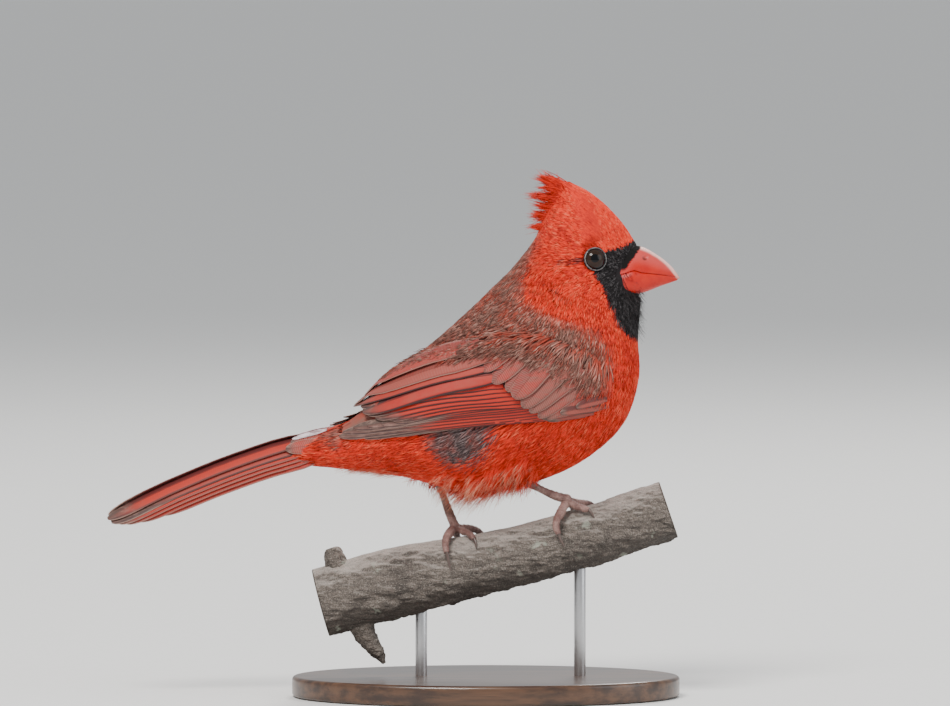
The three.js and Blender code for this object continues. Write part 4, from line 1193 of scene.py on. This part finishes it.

# %% [markdown]
# ## Bill
# The bill is a short strong cone of coral red horn, with a curved ridge above, a mouth line that bends down
# towards the cheek, and two small nostrils. Its two halves stay separate, as on the bird. Each half is an arch
# that stands on the mouth line and narrows to the tip. The horn has a soft gloss, and a painted highlight runs
# along the ridge as a pale stripe. Short black bristles lie over its base, too many to model: they are painted on
# the horn, matte, with a bump, and their edge follows the one of the mask.

# %% Bill
CULMEN = [(44, 153.8), (54, 153.4), (60.6, 150.1), (65.2, 146.3), (67.9, 142.5)]
MOUTH = [(42, 142.8), (48.4, 144.2), (52.2, 145.3), (54.8, 144.6), (60.4, 143.9), (64.2, 143.3), (67.4, 142.3)]
GONYS = [(43, 138), (49.6, 136.9), (55.6, 137.6), (61.2, 139.7), (66.9, 141.7)]
BILL_HALF = [6.2, 6.0, 4.9, 2.9, 0.4]
NOSTRIL = np.array([56.0, 3.9, 149.6])


def bill_shape(ridge, upper):
    def shape(t, s):
        top, mouth = curve_at(ridge, t), curve_at(MOUTH, t)
        half = curve_at([(h,) for h in BILL_HALF], t)[:, 0] * (1 if upper else 0.96)
        fullness = 0.85 + (0.95 if upper else -0.5) * (1 - smooth(0.25, 0.75, t))
        lip = mouth[:, 1] + (0.05 if upper else -0.05)
        arch = np.clip(s / 0.8, 0, 1)
        angle = math.pi * (arch - 0.5)
        floor = s > 0.8
        y = np.where(floor, half * (1 - (s - 0.8) / 0.2 * 2), half * np.sin(angle))
        rise = np.where(floor, 0.0, np.abs(np.cos(angle)) ** fullness)
        x = mouth[:, 0] + (top[:, 0] - mouth[:, 0]) * rise
        z = lip + (top[:, 1] - lip) * rise
        point = np.stack([x, y, z], 1)
        if upper:
            pit = np.linalg.norm((point * [1, 0, 1]) - NOSTRIL * [1, 0, 1], axis=1)
            hole = np.exp(-((pit / 0.75) ** 2)) * (np.abs(y) > 2.5)
            point[:, 1] -= np.sign(y) * 0.8 * hole
        return point
    return shape


def bill_paint():
    paint = Paint("bill_horn", roughness=0.42, Specular_IOR_Level=0.3)
    place = paint.place()
    x, z = paint.axis(place, "X"), paint.axis(place, "Z")
    aside = paint.axis(place, "Y").math("ABSOLUTE")
    cloud = paint.noise(place, 260, 3)
    ripple = paint.noise(paint.place((1, 1, 5)), 420, 2)
    base = (x + cloud * 0.004).step(0.0535, 0.048)
    colour = paint.mix(cloud.step(0.3, 0.75), (0.46, 0.007, 0.003), (0.54, 0.018, 0.006))
    colour = paint.mix(base * 0.8, colour, (0.5, 0.05, 0.045))
    colour = paint.mix((z + x * 0.3).step(0.1625, 0.1665) * 0.55, colour, (0.55, 0.085, 0.08))
    # Painted highlight: a pale stripe along the top of the culmen stands in for light on the ridge.
    ridge = (z + (x - 0.052) * (x - 0.052) * 44.5 + cloud * 0.0006).step(0.1521, 0.1533)
    colour = paint.mix(ridge * aside.step(0.0032, 0.0014) * 0.8, colour, (0.9, 0.56, 0.5))
    bristles = paint.noise(paint.place((0.4, 1, 1)), 1400, 2)
    overlap = (x - 0.0491) * 0.81 - (z - 0.1454) * 0.586 + bristles * 0.0016 - 0.0008
    covered = overlap.step(0.0003, -0.0004) * z.step(0.1448, 0.1462)
    colour = paint.mix(covered, colour, (0.004, 0.003, 0.003))
    tip = x.step(0.0655, 0.068)
    colour = paint.mix(tip * 0.5, colour, (0.5, 0.06, 0.02))
    pit = paint.distance(paint.mirrored(), tuple(NOSTRIL * MM))
    colour = paint.mix(1 - pit.step(0.0006, 0.0012), colour, (0.08, 0.015, 0.01))
    height = ripple * 0.4 + cloud * 0.3 + covered * bristles * 4.0
    return paint.finish(colour, height, 0.00012, Roughness=covered * 0.55 + 0.4)


horn = bill_paint()
piece_of(wrapped(bill_shape(CULMEN, True), 44, 60), "upper_bill", horn, "bill", "bill_upper")
piece_of(wrapped(bill_shape(GONYS, False), 40, 48), "lower_bill", horn, "bill", "bill_lower")

# %% [markdown]
# ## Eyes
# A cardinal's eye is very dark brown with a black pupil, and a narrow ring of bare grey lid runs round it. The
# eye sits in its socket, so only the front of the ball shows. A glass shell over a painted iris is the usual way
# for large eyes. At under 9 mm across, one glossy ball whose colour changes with the distance from its front
# looks the same and bakes cleanly.

# %% Eyes
def eye_paint():
    paint = Paint("eye_ball", roughness=0.07, Specular_IOR_Level=0.22)
    middle, axis = EYES["left"]
    front = tuple((middle + unit(axis + [-0.26, 0.1, 0.03]) * EYE_RADIUS) * MM)
    away = paint.distance(paint.mirrored(), front)
    rays = paint.noise(paint.place(), 1500, 2)
    iris = paint.mix(rays, (0.012, 0.006, 0.004), (0.035, 0.017, 0.01))
    colour = paint.mix(away.step(0.00135, 0.0016), (0.002, 0.002, 0.003), iris)
    return paint.finish(paint.mix(away.step(0.0030, 0.0034), colour, (0.004, 0.003, 0.003)))


LID_RING, LID_LIFT, LID_THICK = 3.86, 1.95, 0.27
eye_material = eye_paint()
lid_paint = Paint("eyelid", roughness=0.5)
wrinkles = lid_paint.noise(lid_paint.place(), 1400, 3)
lid_material = lid_paint.finish(lid_paint.mix(wrinkles.step(0.3, 0.7), (0.02, 0.018, 0.02), (0.2, 0.19, 0.19)),
                                height=wrinkles, depth=0.0001)

for side, (middle, axis) in EYES.items():
    ball = bmesh.new()
    bmesh.ops.create_uvsphere(ball, u_segments=48, v_segments=32, radius=EYE_RADIUS * MM)
    turn = Vector(axis).to_track_quat("Z", "Y").to_matrix()
    bmesh.ops.rotate(ball, cent=(0, 0, 0), matrix=turn, verts=ball.verts)
    bmesh.ops.translate(ball, vec=Vector(middle) * MM, verts=ball.verts)
    piece_of(ball, "eyeball_" + side, eye_material, "eye", "eye_" + side)

    first = unit(np.cross(axis, [0, 0, 1.0]))
    second = np.cross(axis, first)

    def lid(t, s):
        a, b = t * 2 * math.pi, s * 2 * math.pi
        ring = LID_RING + 0.1 * np.cos(2 * a)
        spoke = np.cos(a)[:, None] * first + np.sin(a)[:, None] * second
        crease = LID_THICK + 0.03 * np.sin(26 * a)
        lift = axis * (LID_LIFT + crease * np.sin(b) * 1.6)[:, None]
        return middle + lift + spoke * (ring + crease * np.cos(b))[:, None]

    piece_of(wrapped(lid, 96, 14, closed_loop=True), "eyelid_" + side, lid_material, "leg_skin")

# %% [markdown]
# ## Legs, feet and claws
# The shins are thin and covered in front by overlapping scutes, and the toes are ringed by scales with soft pads
# beneath at the joints. Three toes point forward and one long one back, and they grip the branch. Each toe is a
# wrapped tube whose radius steps at every scale, so the rings show in the outline too. The claws are separate
# smooth dark horn.

# %% Legs
LEGS = {
    "right": {
        "leg": [[6, -6.0, 82.4, 2.4], [13.6, -6.0, 75.2, 1.75], [21.6, -5.4, 70.4, 1.25], [29.4, -3.6, 67.4, 1.65]],
        "hind": [[29.6, -3.8, 66.6, 1.6], [27.4, -7.4, 63.2, 1.5], [25.8, -11, 59.8, 1.2],
                 [26.6, -12.5, 56, 0.95], [28.6, -11.9, 51.6, 0.2]],
        "outer": [[30.2, -4.2, 66.4, 1.45], [32.4, -5.4, 65.4, 1.25], [34.8, -6.4, 64.6, 1.15],
                  [37, -7.4, 63.8, 0.85], [38.8, -8.8, 61.4, 0.2]],
        "middle": [[30.4, -3.4, 66.6, 1.5], [34, 0.2, 65.8, 1.25], [37.4, 4.6, 65, 1.15],
                   [39.6, 8.6, 62.4, 0.9], [40.8, 11.4, 58.4, 0.2]],
        "inner": [[29.8, -3, 66.6, 1.35], [31, 1.8, 65.4, 1.15], [31.8, 6.2, 63.4, 1.05],
                  [32.4, 9.8, 60.2, 0.85], [33, 11.6, 56.4, 0.2]],
    },
    "left": {
        "leg": [[-19.4, 8.6, 86, 2.8], [-16, 7.4, 77, 1.9], [-12.4, 4.4, 67.6, 1.25], [-8.6, 0.8, 57.8, 1.65]],
        "hind": [[-9, 0.4, 57, 1.55], [-10.4, -3.8, 55.9, 1.45], [-11.7, -8.4, 53.7, 1.2],
                 [-11.3, -11.9, 49.6, 0.95], [-9.9, -12.9, 43.6, 0.2]],
        "inner": [[-8.2, 0.6, 56.9, 1.4], [-5.8, -1.6, 56.4, 1.2], [-3.6, -4.4, 55.6, 1.1], [-2, -7, 54, 0.8],
                  [-1.2, -8.8, 51, 0.2]],
        "middle": [[-8.2, 1.4, 57, 1.5], [-4.2, 3.8, 57, 1.25], [-0.6, 7.4, 55.6, 1.15], [1.6, 10.8, 52.2, 0.9],
                   [2.2, 12.4, 48, 0.2]],
        "outer": [[-9, 1.8, 56.8, 1.35], [-8.2, 6.2, 55.4, 1.15], [-7.4, 10, 52.2, 1.05],
                  [-6.8, 12.6, 48, 0.85], [-6.4, 13, 43.8, 0.2]],
    },
}


def scutes(count, deep):
    def section(t, angle):
        ring = (t * count) % 1.0
        pads = deep * 0.8 * np.cos(t * math.pi * 5) * (np.cos(angle) < -0.2)
        return 1 + deep * (0.5 - ring) * (0.6 + 0.4 * np.cos(angle)) + pads
    return section


def leg_paint():
    paint = Paint("leg_skin", roughness=0.5, Specular_IOR_Level=0.45)
    place = paint.place()
    cells = paint.cracks(place, 1500.0)
    cloud = paint.noise(place, 220, 3)
    colour = paint.mix(cloud.step(0.3, 0.7), (0.14, 0.066, 0.056), (0.36, 0.22, 0.19))
    colour = paint.mix((1 - cells.step(0.0, 0.12)) * 0.5, colour, (0.08, 0.04, 0.035))
    return paint.finish(colour, height=cells.step(0.0, 0.2), depth=0.0001)


leg_material = leg_paint()
claw_paint = Paint("claw_horn", roughness=0.3, Coat_Weight=0.3)
claw_grain = claw_paint.noise(claw_paint.place((1, 1, 0.3)), 900, 2)
claw_material = claw_paint.finish(claw_paint.mix(claw_grain, (0.035, 0.022, 0.02), (0.12, 0.075, 0.06)),
                                  height=claw_grain, depth=0.00005)


CLAW_RADII = [0.62, 0.66, 0.58, 0.46, 0.3, 0.08]


def cut_from(route, low, high, steps=7):
    return curve_at(route, np.linspace(low, high, steps))


for side, parts in LEGS.items():
    foot, claws = bmesh.new(), bmesh.new()
    wrapped(tube_shape(cut_from(parts["leg"], 0, 1), scutes(16, 0.16)), 128, 24, foot)
    *joint, radius = parts["leg"][-1]
    bmesh.ops.create_icosphere(foot, subdivisions=3, radius=radius * 1.12 * MM,
                               matrix=Matrix.Translation(Vector(joint) * MM))
    for toe in ("hind", "outer", "middle", "inner"):
        wrapped(tube_shape(cut_from(parts[toe], 0, 0.74), scutes(9, 0.2)), 72, 18, foot)
        claw = cut_from(parts[toe], 0.7, 1.0, len(CLAW_RADII))
        claw[:, 3] = CLAW_RADII
        wrapped(tube_shape(claw, lambda t, angle: 1 + 0.2 * np.cos(angle), 0.75), 24, 14, claws)
    piece_of(foot, "foot_" + side, leg_material, "leg_skin", "leg_" + side)
    piece_of(claws, "claws_" + side, claw_material, "leg_skin")

# %% [markdown]
# ## Branch
# The perch is a dead branch with grey brown bark that has cracked into long plates, the stub of a twig on top and
# a broken twig below. Bump alone would leave the outline smooth, so the wrapped tube is really raised and cracked
# with noise, by about half a millimetre, and the bump only adds the finest grain. It is calmer on top, where the
# feet grip it. The cut ends show pale wood with rings.

# %% Branch
BRANCH = [[-54, 0, 31.8, 12], [-27, 0, 39, 12.2], [-8.5, 0, 42.9, 11.1], [10.9, 0, 47.2, 10.5], [32, 0, 53, 10.3],
          [47.6, 0, 58, 10.2], [64, 0, 63.6, 10.2]]
KNOT = [[-46.6, 0, 36, 5.6], [-48.4, -0.6, 44, 4.6], [-50.2, -1, 49.4, 3.3], [-50.6, -1, 50.6, 2.2]]
TWIG = [[-43.6, -1, 34, 5.4], [-41.4, -1.4, 26, 4.8], [-38, -1.8, 19.4, 3.6], [-34.8, -2, 14.8, 2.4],
        [-32.4, -2, 11.4, 0.9]]
BARK_SCALE = 0.34


def barked(shape, depth, stretch):
    def raised(t, s):
        points = shape(t, s)
        centre = (points + shape(t, (s + 0.5) % 1.0)) / 2
        out = unit(points - centre)
        rise = np.empty(len(points))
        for k, p in enumerate(points):
            spot = Vector((p[0] * stretch, p[1], p[2])) * BARK_SCALE
            cracks = noise.turbulence(spot, 4, False, amplitude_scale=0.6, frequency_scale=2.1)
            rise[k] = noise.noise(spot * 0.45) * 0.7 + (cracks - 0.5) * 1.5
        calm = 1 - 0.75 * smooth(0.82, 1.0, out[:, 2])
        return points + out * (np.clip(rise, -1.1, 0.7) * depth * calm)[:, None]
    return raised


def bark_paint():
    paint = Paint("bark", roughness=0.9)
    place = paint.place((0.35, 1, 1))
    cracks = paint.cracks(place, 900.0)
    large, fine = paint.noise(paint.place(), 45, 4), paint.noise(place, 700, 4)
    top = paint.axis(paint.value("ShaderNodeNewGeometry", None, None, "Normal"), "Z")
    colour = paint.mix((large * 0.7 + fine * 0.5).step(0.4, 0.85), (0.035, 0.028, 0.024), (0.2, 0.165, 0.14))
    colour = paint.mix((1 - cracks.step(0.0, 0.2)) * large.step(0.45, 0.65) * 0.5, colour, (0.02, 0.016, 0.014))
    grain = paint.noise(paint.place((0.12, 1, 1)), 900, 4)
    # Painted light: upward faces turn paler grey, as if lit from above.
    colour = paint.mix((top * 0.75 + large * 0.7 + grain * 0.5).step(0.85, 1.45) * 0.8, colour, (0.42, 0.38, 0.34))
    specks = paint.noise(paint.place(), 2600, 2)
    colour = paint.mix(specks.step(0.54, 0.66) * 0.4, colour, (0.4, 0.36, 0.32))
    colour = paint.mix((1 - specks.step(0.34, 0.44)) * 0.6, colour, (0.015, 0.013, 0.012))
    # Painted shade: downward faces turn near black, as shade under the branch.
    colour = paint.mix((1 - (top + grain * 0.5).step(-0.6, 0.1)) * 0.6, colour, (0.03, 0.025, 0.022))
    lichen = paint.noise(paint.place(), 150, 3).step(0.62, 0.7) * large.step(0.45, 0.6)
    colour = paint.mix(lichen * 0.6, colour, (0.34, 0.37, 0.3))
    height = fine * 0.7 + grain * 0.7 + specks * 0.4 + cracks.step(0.0, 0.25) * 0.35
    return paint.finish(colour, height, depth=0.0004)


bark = bark_paint()
limb = wrapped(barked(tube_shape(BRANCH), 0.55, 0.4), 300, 150)
wrapped(barked(tube_shape(KNOT), 0.5, 1.0), 40, 60, limb)
wrapped(barked(tube_shape(TWIG), 0.4, 1.0), 60, 48, limb)
piece_of(limb, "branch", bark, "bark", "perch")


# %% Cut ends
def cut_wood():
    paint = Paint("cut_wood", roughness=0.75)
    here = paint.value("ShaderNodeTexCoord", None, None, "UV")
    offset = paint.distance(here, (0.5, 0.5, 0))
    wobble = paint.noise(here, 3.0, 3)
    rings = ((offset * 130 + wobble * 9).math("SINE") + 1) * 0.5
    colour = paint.mix(rings.step(0.3, 0.9), (0.42, 0.27, 0.15), (0.24, 0.13, 0.065))
    rays = paint.noise(here, 40.0, 4)
    colour = paint.mix(rays.step(0.5, 0.75) * 0.5, colour, (0.13, 0.07, 0.04))
    colour = paint.mix(offset.step(0.43, 0.47), colour, (0.04, 0.028, 0.022))
    return paint.finish(colour, height=rings, depth=0.00008)


def extrude_up(work, height):
    made = bmesh.ops.extrude_face_region(work, geom=list(work.faces))["geom"]
    bmesh.ops.translate(work, vec=(0, 0, height), verts=[g for g in made if isinstance(g, bmesh.types.BMVert)])


ring_material = cut_wood()
for name, near, far in (("rear", 0, 1), ("front", -1, -2)):
    middle, inner = np.array(BRANCH[near][:3]), np.array(BRANCH[far][:3])
    outward = Vector(unit(middle - inner))
    disc = bmesh.new()
    uv = disc.loops.layers.uv.new("rings")
    bmesh.ops.create_circle(disc, cap_ends=True, segments=72, radius=BRANCH[near][3] * 0.97 * MM)
    bmesh.ops.inset_region(disc, faces=disc.faces, thickness=0.5 * MM, depth=-0.12 * MM)
    for face in disc.faces:
        for loop in face.loops:
            loop[uv].uv = (loop.vert.co.xy / (2 * BRANCH[near][3] * MM)) + Vector((0.5, 0.5))
    extrude_up(disc, 0.35 * MM)
    bmesh.ops.rotate(disc, cent=(0, 0, 0), matrix=outward.to_track_quat("Z", "Y").to_matrix(), verts=disc.verts)
    bmesh.ops.translate(disc, vec=Vector(middle) * MM, verts=disc.verts)
    bmesh.ops.recalc_face_normals(disc, faces=disc.faces)
    piece_of(disc, "cut_end_" + name, ring_material, "bark")

# %% [markdown]
# ## Stand
# The stand isn't in the photograph. It is a plain dark oval of varnished wood and two steel rods, kept quiet so
# that the bird stays the subject. The oval is a circle, stretched, extruded and bevelled, with fine grain along
# its length. The rods are turned steel, brushed round.

# %% Stand
def wood_paint():
    paint = Paint("dark_wood", roughness=0.32, Coat_Weight=0.4, Coat_Roughness=0.2)
    grain = paint.noise(paint.place((0.06, 1, 1)), 320, 5)
    pores = paint.noise(paint.place((0.03, 1, 1)), 1600, 2)
    colour = paint.mix(grain.step(0.3, 0.7), (0.028, 0.012, 0.006), (0.105, 0.048, 0.022))
    colour = paint.mix(pores.step(0.6, 0.75) * 0.6, colour, (0.012, 0.006, 0.003))
    return paint.finish(colour, height=grain * 0.4 - pores.step(0.6, 0.75) * 0.4, depth=0.00006)


def bevel_rims(work, offset, segments):
    rims = [e for e in work.edges if abs(e.verts[0].co.z - e.verts[1].co.z) < 1e-9]
    bmesh.ops.bevel(work, geom=rims, offset=offset, segments=segments, profile=0.5, affect="EDGES", material=-1)


low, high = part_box("stand_base")
plate = bmesh.new()
bmesh.ops.create_circle(plate, cap_ends=True, segments=160, radius=1)
bmesh.ops.scale(plate, vec=((high.x - low.x) / 2, (high.y - low.y) / 2, 1), verts=plate.verts)
extrude_up(plate, high.z - low.z)
bevel_rims(plate, 1.3 * MM, 5)
bmesh.ops.translate(plate, vec=((high.x + low.x) / 2, (high.y + low.y) / 2, low.z), verts=plate.verts)
bmesh.ops.recalc_face_normals(plate, faces=plate.faces)
base = piece_of(plate, "oval_base", wood_paint(), "stand_wood", "stand_base")
rounded = [face.area < 2e-4 and abs(face.normal.z) < 0.999 for face in base.data.polygons]
base.data.polygons.foreach_set("use_smooth", np.array(rounded))

steel_paint = Paint("brushed_steel", roughness=0.3, Metallic=1.0)
scratches = steel_paint.noise(steel_paint.place((1, 1, 12)), 500, 2)
steel = steel_paint.finish(steel_paint.mix(scratches, (0.42, 0.42, 0.43), (0.58, 0.58, 0.59)),
                           height=scratches, depth=0.00002, Roughness=scratches * 0.2 + 0.22)
for name in ("rear", "front"):
    low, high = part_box("stand_rod_" + name)
    rod = bmesh.new()
    radius = (high.x - low.x) / 2
    bmesh.ops.create_cone(rod, cap_ends=True, segments=48, radius1=radius, radius2=radius, depth=high.z - low.z)
    bevel_rims(rod, 0.2 * MM, 2)
    bmesh.ops.translate(rod, vec=(low + high) / 2, verts=rod.verts)
    piece_of(rod, "rod_" + name, steel, "stand_steel", "stand_rod_" + name)
